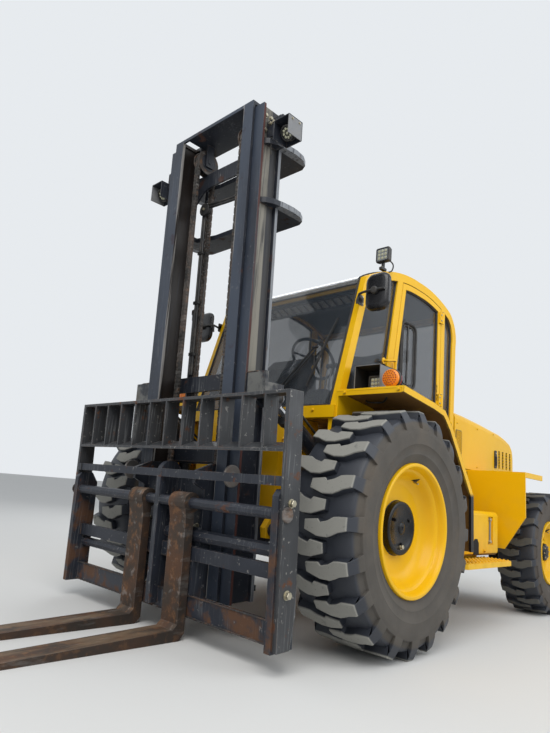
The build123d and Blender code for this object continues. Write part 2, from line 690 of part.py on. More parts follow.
def save_hood():
    # y, z
    line = [(HOOD_FRONT, HOOD_FRONT_Z), (WHEELBASE - 735, HOOD_FRONT_Z - 7), (WHEELBASE - 383, HOOD_FRONT_Z - 30),
            (WHEELBASE + 14, HOOD_FRONT_Z - 64), (WHEELBASE + 142, HOOD_FRONT_Z - 88),
            (WHEELBASE + 222, HOOD_FRONT_Z - 112), (WHEELBASE + 263, HOOD_FRONT_Z - 144),
            (HOOD_REAR, HOOD_FRONT_Z - 205)]
    inner = [(y, z - HOOD_WALL - 2) for y, z in line[:-1]]
    inner[0] = (HOOD_FRONT - 5, HOOD_FRONT_Z - HOOD_WALL - 2)
    inner[-1] = (HOOD_REAR - HOOD_WALL, HOOD_FRONT_Z - 175)
    hood = arched(line, CAB_X, HOOD_ROUND, DECK_Z + 6)
    hood -= arched(inner, CAB_X - HOOD_WALL, HOOD_ROUND - HOOD_WALL, DECK_Z - 5)
    for index in range(4):
        y = HOOD_REAR - 336 + index * 84
        hood -= block((-CAB_X - 5, CAB_X + 5), (y, y + 34), (1150, 1306))
    hood -= both_sides(block((HOOD_HINGE_X - 18, HOOD_HINGE_X + 18), (HOOD_FRONT - 5, HOOD_FRONT + 12),
                             (HOOD_FRONT_Z - 40, HOOD_FRONT_Z + 5)))
    arm = block((HOOD_HINGE_X - 30, HOOD_HINGE_X - 18), (HOOD_HINGE_Y, HOOD_FRONT + 30),
                (HOOD_FRONT_Z - 10, HOOD_FRONT_Z - 1))
    arm += x_bar(HOOD_HINGE_X - 30, HOOD_HINGE_X - 18, HOOD_HINGE_Y, HOOD_FRONT_Z, 10)
    arm += Pos(48, 0, 0) * arm
    arm += x_bar(HOOD_HINGE_X - 25, HOOD_HINGE_X + 25, HOOD_HINGE_Y, HOOD_FRONT_Z, HOOD_PIN_R)
    save("engine_hood", hood + both_sides(arm))


# Mast


def rail_pair(outline, w0, w1):
    """Two mirrored rails with their section given as (u, v) corners."""
    return both_sides(floor_plate(outline, w0, w1))


def save_mast():
    lip = OUTER_LIP_IN
    out = OUTER_OUT
    web_in = OUTER_WEB_IN
    web_out = OUTER_WEB_IN + OUTER_WEB_T
    front = OUTER_FRONT_V
    rear = OUTER_REAR_V
    front_in = front + OUTER_FLANGE_T
    rear_in = rear - OUTER_FLANGE_T - 4
    mast = rail_pair(
        [(lip, front), (out, front), (out, front_in), (web_out, front_in), (web_out, rear_in), (out, rear_in),
         (out, rear), (lip, rear), (lip, rear_in), (web_in, rear_in), (web_in, front_in), (lip, front_in)],
        MAST_LOW, OUTER_TOP)
    # u, v of the guards' rounded edge and of their opening round the inner mast
    edge = [(web_out, 60), (472, 84), (496, 132), (510, 205), (516, 290), (506, 362), (476, 416), (430, 442)]
    hole = [(web_in + 10, 0), (web_in + 10, rear - 10), (lip - 10, rear - 10), (lip - 10, rear + 30), (200, rear + 70)]
    guard = floor_plate(edge + [(-u, v) for u, v in reversed(edge)], 0, GUARD_T)
    guard -= floor_plate(hole + [(-u, v) for u, v in reversed(hole)], -1, GUARD_T + 1)
    guard -= both_sides(z_bar(LIFT_CYL_U, LIFT_CYL_V, -1, GUARD_T + 1, LIFT_ROD_R + 14))
    for w in GUARD_W:
        mast += Pos(0, 0, w) * guard
    for w0, w1 in [(MAST_LOW + 30, MAST_LOW + 150), (900, 1040)]:
        mast += block((-lip - 2, lip + 2), (rear_in, rear - 2), (w0, w1))
    mast += both_sides(block((SHEAVE_U - 24, SHEAVE_U + 24), (rear - 4, rear + 32), (980, 1060 - SEAT_CLEAR)))
    lug = side_plate(
        [(rear - 4, PIVOT_W + 150), (PIVOT_V + 20, PIVOT_W + 62), (PIVOT_V + 58, PIVOT_W + 10),
         (PIVOT_V + 40, PIVOT_W - 48), (rear - 4, PIVOT_W - 120)],
        FRAME_X + FRAME_T / 2 + 6, FRAME_X + FRAME_T * 1.5 + 16)
    pin = x_bar(FRAME_X - FRAME_T / 2 - 1, FRAME_X + FRAME_T * 2.5 + 30, PIVOT_V, PIVOT_W, PIVOT_R)
    eye_lugs = side_plate(
        [(TILT_EYE_V - 85, TILT_EYE_W + 60), (TILT_EYE_V + 40, TILT_EYE_W + 60), (TILT_EYE_V + 52, TILT_EYE_W),
         (TILT_EYE_V + 20, TILT_EYE_W - 48), (TILT_EYE_V - 20, TILT_EYE_W - 48), (TILT_EYE_V - 85, TILT_EYE_W - 10)],
        TILT_CYL_X - 56, TILT_CYL_X - 34)
    eye_lugs += Pos(90, 0, 0) * eye_lugs
    eye_lugs += block((out - 2, TILT_CYL_X + 56), (TILT_EYE_V - 106, TILT_EYE_V - 84),
                      (TILT_EYE_W - 10, TILT_EYE_W + 140))
    eye_lugs += block((out - 2, TILT_CYL_X + 56), (TILT_EYE_V - 106, TILT_EYE_V + 40),
                      (TILT_EYE_W + 58, TILT_EYE_W + 80))
    eye_lugs += x_bar(TILT_CYL_X - 64, TILT_CYL_X + 64, TILT_EYE_V, TILT_EYE_W, TILT_PIN_R)
    foot = block((LIFT_CYL_U - 60, LIFT_CYL_U + 90), (rear - 2, LIFT_CYL_V + 50), (MAST_LOW + 30, MAST_LOW + 60))
    mast += both_sides(lug + pin + eye_lugs + foot)
    save("outer_mast", MAST * mast)

    top = LIFT_BARREL_TOP
    barrel = z_bar(LIFT_CYL_U, LIFT_CYL_V, MAST_LOW + 60 + SEAT_CLEAR, top, LIFT_BARREL_R, 12)
    barrel += z_bar(LIFT_CYL_U, LIFT_CYL_V, top - 60, top, LIFT_BARREL_R + 3, 12)
    barrel -= z_bar(LIFT_CYL_U, LIFT_CYL_V, MAST_LOW + 80, top + 5, LIFT_ROD_R + 2 * RUN_CLEAR, 10)
    save("lift_cylinders", MAST * pair(barrel))

    plate = block((web_out + SEAT_CLEAR, 575), (84, 94), (2885, 3000))
    shroud = block((562, 684), (20, 140), (2798, 2920)) - block((568, 678), (10, 134), (2788, 2914))
    lamp = Pos(622, 80, 2850) * Rot(62, 0, 0) * bar((0, 0, -28), (0, 0, 28), 44, 12)
    stalk = block((612, 634), (80, 138), (2850, 2918))
    save("mast_lamps", MAST * pair(plate + shroud + lamp + stalk))

    stub_in = INNER_WEB_IN
    stub_out = INNER_WEB_IN + INNER_WEB_T
    inner_rear = INNER_REAR_V
    inner = rail_pair(
        [(INNER_LIP_IN, 0), (INNER_LIP_OUT, 0), (INNER_LIP_OUT, INNER_FLANGE_T), (stub_out, INNER_FLANGE_T),
         (stub_out, inner_rear), (INNER_LIP_IN, inner_rear), (INNER_LIP_IN, inner_rear - INNER_FLANGE_T),
         (stub_in, inner_rear - INNER_FLANGE_T), (stub_in, INNER_FLANGE_T), (INNER_LIP_IN, INNER_FLANGE_T)],
        MAST_LOW + 10, INNER_TOP)
    plate = block((-INNER_LIP_OUT, INNER_LIP_OUT), (0, 262), (INNER_TOP - 22, INNER_TOP))
    inner += plate - block((-330, -258), (14, 128), (INNER_TOP - 30, INNER_TOP + 5))
    for w0, w1 in [(1350, 1450), (MAST_LOW + 60, MAST_LOW + 160)]:
        inner += block((-INNER_LIP_IN - 10, INNER_LIP_IN + 10), (inner_rear - 12, inner_rear + 4), (w0, w1))
    end = INNER_LIP_IN + 10
    inner += front_plate(
        [(-end, 2700), (-end, 2900), (end, 2900), (end, 2752), (262, 2784), (190, 2795), (-170, 2795),
         (-236, 2776), (-276, 2740)], inner_rear - 12, inner_rear + 4)
    middle = (front + rear) / 2 - 2
    inner += both_sides(x_bar(stub_out + 6, web_in - 6, middle, MAST_LOW + 110, 66 - SEAT_CLEAR, 16))
    inner += both_sides(x_bar(stub_in, stub_out + 8, middle, MAST_LOW + 110, 24))
    sheave = x_bar(SHEAVE_U - 30, SHEAVE_U + 30, SHEAVE_V, SHEAVE_W, SHEAVE_R - CHAIN_T, 16)
    for u in (SHEAVE_U - 44, SHEAVE_U + 32):
        sheave += block((u, u + 12), (SHEAVE_V - 30, SHEAVE_V + 30), (SHEAVE_W - 40, INNER_TOP - 20))
    sheave += x_bar(SHEAVE_U - 48, SHEAVE_U + 48, SHEAVE_V, SHEAVE_W, 18)
    inner += both_sides(sheave)
    save("inner_mast", MAST * inner)
    rods = z_bar(LIFT_CYL_U, LIFT_CYL_V, MAST_LOW + 85, INNER_TOP - 22, LIFT_ROD_R, 10)
    save("lift_rods", MAST * pair(rods))

    low_u = SHEAVE_U - CHAIN_W / 2
    high_u = SHEAVE_U + CHAIN_W / 2
    loop = x_bar(low_u, high_u, SHEAVE_V, SHEAVE_W, SHEAVE_R, 16)
    loop -= x_bar(low_u - 5, high_u + 5, SHEAVE_V, SHEAVE_W, SHEAVE_R - CHAIN_T + SEAT_CLEAR, 16)
    loop -= block((0, 400), (SHEAVE_V - 200, SHEAVE_V + 200), (SHEAVE_W - 200, SHEAVE_W))
    centre = SHEAVE_R - CHAIN_T / 2
    # v, lower end
    for v, low in [(SHEAVE_V - centre, 480), (SHEAVE_V + centre, 1060)]:
        loop += block((low_u, high_u), (v - CHAIN_T / 2 + SEAT_CLEAR, v + CHAIN_T / 2), (low, SHEAVE_W + 1))
    save("lift_chains", MAST * pair(loop))


# Carriage and forks


def save_carriage():
    half = CARRIAGE_HALF
    inside = half - POST_T
    front = POST_FRONT_V
    post = side_plate([(front, BACKREST_TOP), (front + 98, BACKREST_TOP), (front + 114, 255), (front + 84, 112),
                       (front, 112)], inside, half)
    backrest = both_sides(post)
    backrest += block((-inside - 1, inside + 1), (front, front + SLAT_DEPTH), (BACKREST_TOP - 16, BACKREST_TOP))
    low_bar = side_plate([(front, GRID_LOW - 14), (front, GRID_LOW), (front + SLAT_DEPTH, GRID_LOW + 34),
                          (front + SLAT_DEPTH, GRID_LOW + 20)], -inside - 1, inside + 1)
    backrest += low_bar
    pitch = 2 * half / (SLATS + 1)
    for index in range(SLATS):
        u = -half + pitch * (index + 1)
        backrest += side_plate([(front, GRID_LOW - 2), (front + SLAT_DEPTH, GRID_LOW + 30),
                                (front + SLAT_DEPTH, BACKREST_TOP - 2), (front, BACKREST_TOP - 2)],
                               u - SLAT_T / 2, u + SLAT_T / 2)
    save("load_backrest", MAST * backrest)

    # v0, v1, w0, w1
    bars = [
        (front, front + 22, 816, 860),
        (BAR_FRONT_V, BAR_FRONT_V + 28, 395, 463),
        (BAR_FRONT_V, BAR_FRONT_V + 30, 120, 218),
    ]
    reach = inside - SEAT_CLEAR
    frame = side_plate(
        rounded([(front - 3, 139, 0), (-14, 139, 0), (-14, 905, 60), (front - 3, 905, 60)]),
        -CENTRE_PLATE_T / 2, CENTRE_PLATE_T / 2)
    for v0, v1, w0, w1 in bars:
        frame += block((-reach, reach), (v0, v1), (w0, w1))
    frame += x_bar(-reach, reach, SHAFT_V, SHAFT_W, SHAFT_R, 10)
    frame += x_bar(0, reach, -64, 518, 33)
    frame += x_bar(-reach, 0, -64, 350, 28)
    frame += both_sides(side_plate(
        [(-165, 105), (-20, 105), (-20, 735), (-62, 800), (-140, 800), (-165, 770)], reach - SIDE_PLATE_T, reach))
    cheek = side_plate([(-100, 120), (-20, 120), (40, 240), (142, 300), (142, 900), (-20, 900), (-130, 860),
                        (-130, 795), (-60, 760), (-60, 470), (-100, 460)], 276, 298)
    rollers = x_bar(298, 336, 83, 360, 65 - SEAT_CLEAR, 16) + x_bar(298, 336, 83, 830, 65 - SEAT_CLEAR, 16)
    ribs = block((10, 290), (-72, -44), (440, 560))
    frame += both_sides(cheek + rollers + ribs)
    frame += block((-290, 290), (-30, -12), (300, 840))
    for side in (1, -1):
        frame -= block((side * SHEAVE_U - 34, side * SHEAVE_U + 34), (56, 100), (300, 2000))
    save("carriage_frame", MAST * frame)


def fork():
    """One fork in the mast's frame, with its blade level with the floor."""
    rise = tan(radians(MAST_TILT))
    back = FORK_FACE_V + FORK_T
    tip_v = FORK_FACE_V - FORK_LENGTH
    # The floor's line in the mast's frame: w + v * tan(tilt) = 0
    low_back = -back * rise
    low_tip = -tip_v * rise
    outline = [
        (back, low_back + 34), (back - 34, -(back - 34) * rise), (tip_v, low_tip), (tip_v, low_tip + FORK_TIP_T),
        (FORK_FACE_V - 24, low_back + FORK_T + 8), (FORK_FACE_V, low_back + FORK_T + 32),
        (FORK_FACE_V, SHAFT_W - 90), (FORK_FACE_V - 16, SHAFT_W), (back, SHAFT_W),
    ]
    body = side_plate(outline, -FORK_W / 2, FORK_W / 2)
    eye_r = SHAFT_R + 26
    body += x_bar(-FORK_W / 2, FORK_W / 2, SHAFT_V, SHAFT_W, eye_r, 16)
    body -= x_bar(-FORK_W, FORK_W, SHAFT_V, SHAFT_W, SHAFT_R + 2 * RUN_CLEAR, 10)
    return body


def save_forks():
    one = fork()
    save("fork_left", MAST * Pos(FORK_LEFT_U, 0, 0) * one)
    save("fork_right", MAST * Pos(FORK_RIGHT_U, 0, 0) * one)


# Tilt cylinders


def save_tilt_cylinders():
    turn = radians(MAST_TILT)
    eye_y = MAST_FOOT_Y + TILT_EYE_V * cos(turn) - TILT_EYE_W * sin(turn)
    eye_z = TILT_EYE_V * sin(turn) + TILT_EYE_W * cos(turn)
    rear = Vector(TILT_CYL_X, TILT_REAR_Y, TILT_REAR_Z)
    run = Vector(TILT_CYL_X, eye_y, eye_z) - rear
    along = run.normalized()

    def at(distance):
        return rear + along * distance

    barrel = bar(at(60), at(60 + TILT_BARREL_L), TILT_BARREL_R, 14)
    barrel -= bar(at(120), at(80 + TILT_BARREL_L), TILT_ROD_R + 2 * RUN_CLEAR, 10)
    barrel += x_bar(TILT_CYL_X - 30, TILT_CYL_X + 30, TILT_REAR_Y, TILT_REAR_Z, 42, 12)
    barrel += bar(at(10), at(70), 30)
    barrel -= bore((TILT_CYL_X - 80, TILT_REAR_Y, TILT_REAR_Z), (TILT_CYL_X + 80, TILT_REAR_Y, TILT_REAR_Z),
                   TILT_PIN_R + RUN_CLEAR)
    save("tilt_barrels", pair(barrel))
    rod = bar(at(300), at(run.length - 30), TILT_ROD_R, 10)
    rod += x_bar(TILT_CYL_X - 28, TILT_CYL_X + 28, eye_y, eye_z, 42, 12)
    rod -= x_bar(TILT_CYL_X - 60, TILT_CYL_X + 60, eye_y, eye_z, TILT_PIN_R + 9)
    save("tilt_rods", pair(rod))


# Lamps and mirrors


def save_fittings():
    slope = (FENDER_LINE[1][1] - FENDER_LINE[0][1]) / (FENDER_LINE[1][0] - FENDER_LINE[0][0])

    def fender_z(y):
        return FENDER_LINE[0][1] + slope * (y - FENDER_LINE[0][0]) + SEAT_CLEAR

    shroud = side_plate([(-60, fender_z(-60)), (90, fender_z(90)), (90, 1575), (-60, 1575)], 714, 897)
    shroud -= block((720, 891), (-70, 84), (1404, 1569))
    lamp = shroud + block((738, 873), (30, 86), (1425, 1552))
    amber = bar((975, -80, 1478), (975, -40, 1478), 55, 16)
    amber += block((967, 983), (-60, -20), (fender_z(-60), 1470))
    save("fender_lamps", Compound(children=[*pair(lamp).solids(), *pair(amber).solids()]))
    roof = block((616, 724), (243, 298), (2392, 2500))
    roof += block((CAB_X - 24, CAB_X - 8), (262, 282), (2345, 2393))
    roof += block((CAB_X - 30, CAB_X - 2), (240, 300), (ROOF_LAMP_Z, ROOF_LAMP_Z + 18))
    save("roof_lamps", pair(roof))
    glass = front_plate(rounded([(748, 1925, 40), (922, 1925, 40), (922, 2172, 40), (748, 2172, 40)]), -60, -20)
    arm = bar((CAB_X + 4, 20, 2050), (836, -40, 2050), 10)
    arm -= block((CAB_X - 60, CAB_X + 4), (-100, 100), (1900, 2200))
    foot = block((CAB_X + SEAT_CLEAR, CAB_X + 8), (0, 40), (2030, 2070))
    save("mirrors", pair(glass + arm + foot))


save_tyres()
save_wheels()
save_axles()
save_chassis()
save_fenders()
save_cab()
save_hood()
save_mast()
save_carriage()
save_forks()
save_tilt_cylinders()
save_fittings()
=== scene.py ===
"""Looks of a rough terrain forklift: finishes, tyres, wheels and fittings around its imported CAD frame."""

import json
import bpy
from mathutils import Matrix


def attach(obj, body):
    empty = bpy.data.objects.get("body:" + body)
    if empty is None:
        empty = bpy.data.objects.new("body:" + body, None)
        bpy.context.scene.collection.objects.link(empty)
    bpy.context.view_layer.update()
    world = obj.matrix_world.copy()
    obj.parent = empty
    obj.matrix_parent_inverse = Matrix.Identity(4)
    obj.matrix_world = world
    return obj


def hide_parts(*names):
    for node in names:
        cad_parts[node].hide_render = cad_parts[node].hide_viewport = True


bl_info = {
    "name": "Rough Terrain Forklift Dressing",
    "version": (1, 0, 0),
    "blender": (4, 5, 0),
    "location": "3D Viewport > Sidebar > Forklift",
    "description": "Finishes, tyres and fittings for the CAD model of a rough terrain forklift",
    "category": "Object",
}

from math import atan2, cos, hypot, pi, radians, sin

import bmesh
import bpy
from bpy.props import FloatProperty, FloatVectorProperty, IntProperty, PointerProperty
from bpy.types import Operator, Panel, PropertyGroup
from mathutils import Matrix, Vector

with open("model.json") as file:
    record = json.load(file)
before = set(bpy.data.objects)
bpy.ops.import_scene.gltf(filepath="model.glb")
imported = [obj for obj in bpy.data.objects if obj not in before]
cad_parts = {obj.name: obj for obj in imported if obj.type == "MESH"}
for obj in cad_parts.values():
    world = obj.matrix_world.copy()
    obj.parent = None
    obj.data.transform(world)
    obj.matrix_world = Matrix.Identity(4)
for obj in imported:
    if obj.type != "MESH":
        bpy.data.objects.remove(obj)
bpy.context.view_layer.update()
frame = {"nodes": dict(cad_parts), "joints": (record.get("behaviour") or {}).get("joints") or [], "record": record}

# Places taken from the frame. Lengths below are millimetres: in the machine's space y is 0 at the
# front axle, in the mast's space u is sideways, v runs rearward across the rails and w along them.
MM = 0.001
JOINTS = {joint["name"]: joint for joint in frame["joints"]}
FRONT_HUB = Vector(JOINTS["left_front_roll"]["pos_m"])
REAR_HUB = Vector(JOINTS["left_rear_roll"]["pos_m"])
LIFT_AXIS = Vector(JOINTS["mast_lift"]["axis"])
WHEELBASE = (REAR_HUB.y - FRONT_HUB.y) / MM
FRONT_RADIUS = round(FRONT_HUB.z / MM)
REAR_RADIUS = round(REAR_HUB.z / MM)
MAST_LEAN = atan2(-LIFT_AXIS.y, LIFT_AXIS.z)
MAST_FOOT_Y = -709
MACHINE = Matrix.Translation((0, FRONT_HUB.y, 0)) @ Matrix.Scale(MM, 4)
MAST = MACHINE @ Matrix.Translation((0, MAST_FOOT_Y, 0)) @ Matrix.Rotation(MAST_LEAN, 4, "X")
SIDES = {"left": 1, "right": -1}
SHARP = radians(36)

# Directions: OUT is the machine's left, AHEAD its front or the front of the mast
OUT = (1, 0, 0)
AHEAD = (0, -1, 0)
BACK = (0, 1, 0)
UP = (0, 0, 1)
DOWN = (0, 0, -1)


# Settings that a user would change


class ForkliftPaint(PropertyGroup):
    """Colours and wear of the painted steel."""

    yellow: FloatVectorProperty(name="Yellow", description="Gloss paint of the bodywork",
                                default=(0.85, 0.485, 0.003), min=0, max=1, subtype="COLOR")
    black: FloatVectorProperty(name="Black", description="Satin paint of the mast and carriage",
                               default=(0.017, 0.02, 0.028), min=0, max=1, subtype="COLOR")
    dust: FloatProperty(name="Dust", description="Road dust on the lower bodywork", subtype="FACTOR",
                        default=0.5, min=0, max=1)
    chips: FloatProperty(name="Chips", description="Chipped paint on the bodywork's edges",
                         subtype="FACTOR", default=0.7, min=0, max=1)


class ForkliftTyres(PropertyGroup):
    """Sizes of the lugs."""

    front_depth: FloatProperty(name="Front lug depth", description="Millimetres from lug top to tread",
                               default=42, min=10, max=60)
    rear_depth: FloatProperty(name="Rear lug depth", description="Millimetres from lug top to tread",
                              default=30, min=8, max=45)
    worn: FloatVectorProperty(name="Worn rubber", description="Colour of the rubbed lug tops",
                              default=(0.33, 0.325, 0.295), min=0, max=1, subtype="COLOR")


class ForkliftSeat(PropertyGroup):
    """How the seat's foam stands."""

    pressure: FloatProperty(name="Foam pressure", description="Pressure that swells the cushions",
                            default=4.0, min=0, max=10)
    swell: FloatProperty(name="Most swell", description="Furthest that the foam may stand out",
                         default=0.024, min=0, max=0.05, unit="LENGTH")
    frames: IntProperty(name="Settling frames", description="Frames in which the cushions settle",
                        default=20, min=1, max=60)


class ForkliftStudio(PropertyGroup):
    """Floor, surround and light."""

    floor: FloatVectorProperty(name="Floor", description="Colour of the studio floor", subtype="COLOR",
                               default=(0.72, 0.72, 0.71), min=0, max=1)
    surround: FloatVectorProperty(name="Surround", description="Colour behind the machine",
                                  default=(0.80, 0.83, 0.86), min=0, max=1, subtype="COLOR")
    light: FloatProperty(name="Surround light", description="Strength of the light from all round",
                         default=0.5, min=0, max=2)
    key: FloatProperty(name="Key lamp", description="Watts of the main lamp", default=430, min=0,
                       subtype="POWER")


# Shapes


def rounded_rect(a0, a1, b0, b1, radius, steps=5):
    """Corners of a rectangle with rounded corners."""
    outline = []
    for middle_a, middle_b, start in ((a1 - radius, b1 - radius, 0), (a0 + radius, b1 - radius, 90),
                                      (a0 + radius, b0 + radius, 180), (a1 - radius, b0 + radius, 270)):
        for step in range(steps + 1):
            angle = radians(start + 90 * step / steps)
            outline.append((middle_a + radius * cos(angle), middle_b + radius * sin(angle)))
    return outline


def arc(first, middle, last, steps):
    """Points on the arc through three (a, b) points, without the last one."""
    (ax, ay), (bx, by), (cx, cy) = first, middle, last
    spread = 2 * (ax * (by - cy) + bx * (cy - ay) + cx * (ay - by))
    ra, rb, rc = ax * ax + ay * ay, bx * bx + by * by, cx * cx + cy * cy
    ox = (ra * (by - cy) + rb * (cy - ay) + rc * (ay - by)) / spread
    oy = (ra * (cx - bx) + rb * (ax - cx) + rc * (bx - ax)) / spread
    radius = hypot(ax - ox, ay - oy)
    start = atan2(ay - oy, ax - ox)
    sweep = (atan2(cy - oy, cx - ox) - start + pi) % (2 * pi) - pi
    angles = [start + sweep * step / steps for step in range(steps)]
    return [(ox + radius * cos(angle), oy + radius * sin(angle)) for angle in angles]


def smooth_line(path, steps):
    """Points of a smooth curve through the given ones."""
    line = []
    for index in range(len(path) - 1):
        before = path[max(index - 1, 0)]
        start = path[index]
        end = path[index + 1]
        after = path[min(index + 2, len(path) - 1)]
        for step in range(steps):
            t = step / steps
            slope = (end - before) * t
            bend = (2 * before - 5 * start + 4 * end - after) * t * t
            twist = (3 * start - before - 3 * end + after) * t ** 3
            line.append(0.5 * (2 * start + slope + bend + twist))
    line.append(path[-1])
    return line


class Form:
    """A piece being made: corners in the millimetres of one space, and faces with their finishes."""

    def __init__(self, space=MACHINE):
        self.space = space
        self.corners = []
        self.faces = []
        self.face_finish = []
        self.finishes = []

    def add(self, corners, faces, finish):
        """Adds one shell."""
        finish = F[finish]
        base = len(self.corners)
        self.corners.extend(Vector(corner) for corner in corners)
        if finish not in self.finishes:
            self.finishes.append(finish)
        index = self.finishes.index(finish)
        for face in faces:
            self.faces.append([base + corner for corner in face])
            self.face_finish.append(index)

    def loft(self, rings, finish, closed=False, caps=True):
        """Skin over rings that have the same number of corners."""
        count = len(rings[0])
        corners = [corner for ring in rings for corner in ring]
        faces = []
        pairs = list(zip(range(len(rings)), range(1, len(rings))))
        if closed:
            pairs.append((len(rings) - 1, 0))
        for low, high in pairs:
            for index in range(count):
                after = (index + 1) % count
                faces.append([low * count + index, low * count + after,
                              high * count + after, high * count + index])
        if caps and not closed:
            faces.append(list(reversed(range(count))))
            faces.append([(len(rings) - 1) * count + index for index in range(count)])
        self.add(corners, faces, finish)

    def prism(self, outline, low, high, axis, finish):
        """Plate with an outline across an axis, between two levels on it."""
        rings = []
        for level in (low, high):
            if axis == "x":
                rings.append([(level, a, b) for a, b in outline])
            elif axis == "y":
                rings.append([(a, level, b) for a, b in outline])
            else:
                rings.append([(a, b, level) for a, b in outline])
        self.loft(rings, finish)

    def box(self, x, y, z, finish):
        """Plain block between pairs of limits, as part of a larger piece."""
        self.prism([(x[0], y[0]), (x[1], y[0]), (x[1], y[1]), (x[0], y[1])], z[0], z[1], "z", finish)

    def turned(self, profile, place, axis, finish, sides=32, closed=False):
        """Round form from (distance along the axis, radius) corners."""
        turn = Vector(axis).to_track_quat("Z", "Y")
        angles = [2 * pi * index / sides for index in range(sides)]
        rings = []
        for along, radius in profile:
            radius = max(radius, 0.01)
            ring = [Vector((radius * cos(angle), radius * sin(angle), along)) for angle in angles]
            rings.append([Vector(place) + turn @ corner for corner in ring])
        self.loft(rings, finish, closed=closed)

    def rod(self, start, end, radius, finish, sides=12):
        """Round bar with small rounded ends between two points."""
        run = Vector(end) - Vector(start)
        soft = min(radius * 0.3, run.length * 0.2)
        end_radius = radius - soft
        profile = [(0, end_radius), (soft, radius), (run.length - soft, radius), (run.length, end_radius)]
        self.turned(profile, start, run, finish, sides)

    def tube(self, path, radius, finish, sides=10, steps=0, ripple=0.0, closed=False):
        """Round bar, hose or weld bead along points, on a smooth curve if steps are given."""
        path = [Vector(point) for point in path]
        if steps:
            path = smooth_line(path, steps)
        normal = None
        rings = []
        angles = [2 * pi * turn / sides for turn in range(sides)]
        for index, point in enumerate(path):
            ahead = path[(index + 1) % len(path)] if closed else path[min(index + 1, len(path) - 1)]
            behind = path[index - 1] if closed else path[max(index - 1, 0)]
            along = (ahead - behind).normalized()
            if normal is None:
                normal = along.orthogonal().normalized()
            normal = (normal - along * normal.dot(along)).normalized()
            side = along.cross(normal)
            reach = radius * (1 + ripple * sin(index * 2.1) + ripple * 0.5 * sin(index * 5.3))
            rings.append([point + reach * (cos(angle) * normal + sin(angle) * side) for angle in angles])
        self.loft(rings, finish, closed=closed)

    def bead(self, start, end, finish="weld", radius=4.5):
        """Weld bead between two points."""
        start, end = Vector(start), Vector(end)
        count = max(int((end - start).length / 6), 2)
        path = [start.lerp(end, index / count) for index in range(count + 1)]
        self.tube(path, radius, finish, 6, ripple=0.16)

    def bolt(self, place, axis, size, finish="zinc"):
        """Hexagon head of a bolt, size across, on its washer."""
        half = size / 2
        seat = size * 0.1
        top = size * 0.62
        self.turned([(0, 0), (0, half * 1.25), (seat, half * 1.25), (seat, 0)], place, axis, finish, 16)
        head = [(seat, 0), (seat, half), (size * 0.55, half), (top, half * 0.86), (top, 0)]
        self.turned(head, place, axis, finish, 6)

    def bolt_ring(self, count, radius, place, axis, size, finish="zinc", start=0.0):
        """Bolts in a ring round an axis."""
        turn = Vector(axis).to_track_quat("Z", "Y")
        for index in range(count):
            angle = 2 * pi * index / count + start
            spot = Vector((radius * cos(angle), radius * sin(angle), 0))
            self.bolt(Vector(place) + turn @ spot, axis, size, finish)

    def mirror(self):
        """Adds the same shells on the other side."""
        base = len(self.corners)
        self.corners += [Vector((-corner.x, corner.y, corner.z)) for corner in self.corners]
        self.faces += [[base + corner for corner in reversed(face)] for face in self.faces]
        self.face_finish *= 2

    def build(self, name, body, bevel=0.0, replaces=(), flip=False):
        """Makes the object, in place, and tells the frame what carries it."""
        sign = -1 if flip else 1
        mesh = bpy.data.meshes.new(name)
        places = [self.space @ Vector((corner.x * sign, corner.y, corner.z)) for corner in self.corners]
        mesh.from_pydata(places, [], self.faces)
        for finish in self.finishes:
            mesh.materials.append(finish)
        mesh.polygons.foreach_set("material_index", self.face_finish)
        shell = bmesh.new()
        shell.from_mesh(mesh)
        bmesh.ops.recalc_face_normals(shell, faces=shell.faces)
        shell.to_mesh(mesh)
        shell.free()
        mesh.shade_smooth()
        mesh.set_sharp_from_angle(angle=SHARP)
        piece = bpy.data.objects.new(name, mesh)
        bpy.context.scene.collection.objects.link(piece)
        if bevel:
            edge = piece.modifiers.new("edges", "BEVEL")
            edge.width = bevel * MM
            edge.segments = 2
            edge.limit_method = "ANGLE"
            edge.angle_limit = SHARP
            edge.harden_normals = True
        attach(piece, body)
        if replaces:
            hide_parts(*replaces)
        return piece


# Finishes

FENDER_IN = 684
FENDER_OUT = 1119
F = {}


def shade(colour, share, lift=0.0):
    """The colour, lighter or darker."""
    return tuple(level * share + lift for level in colour)


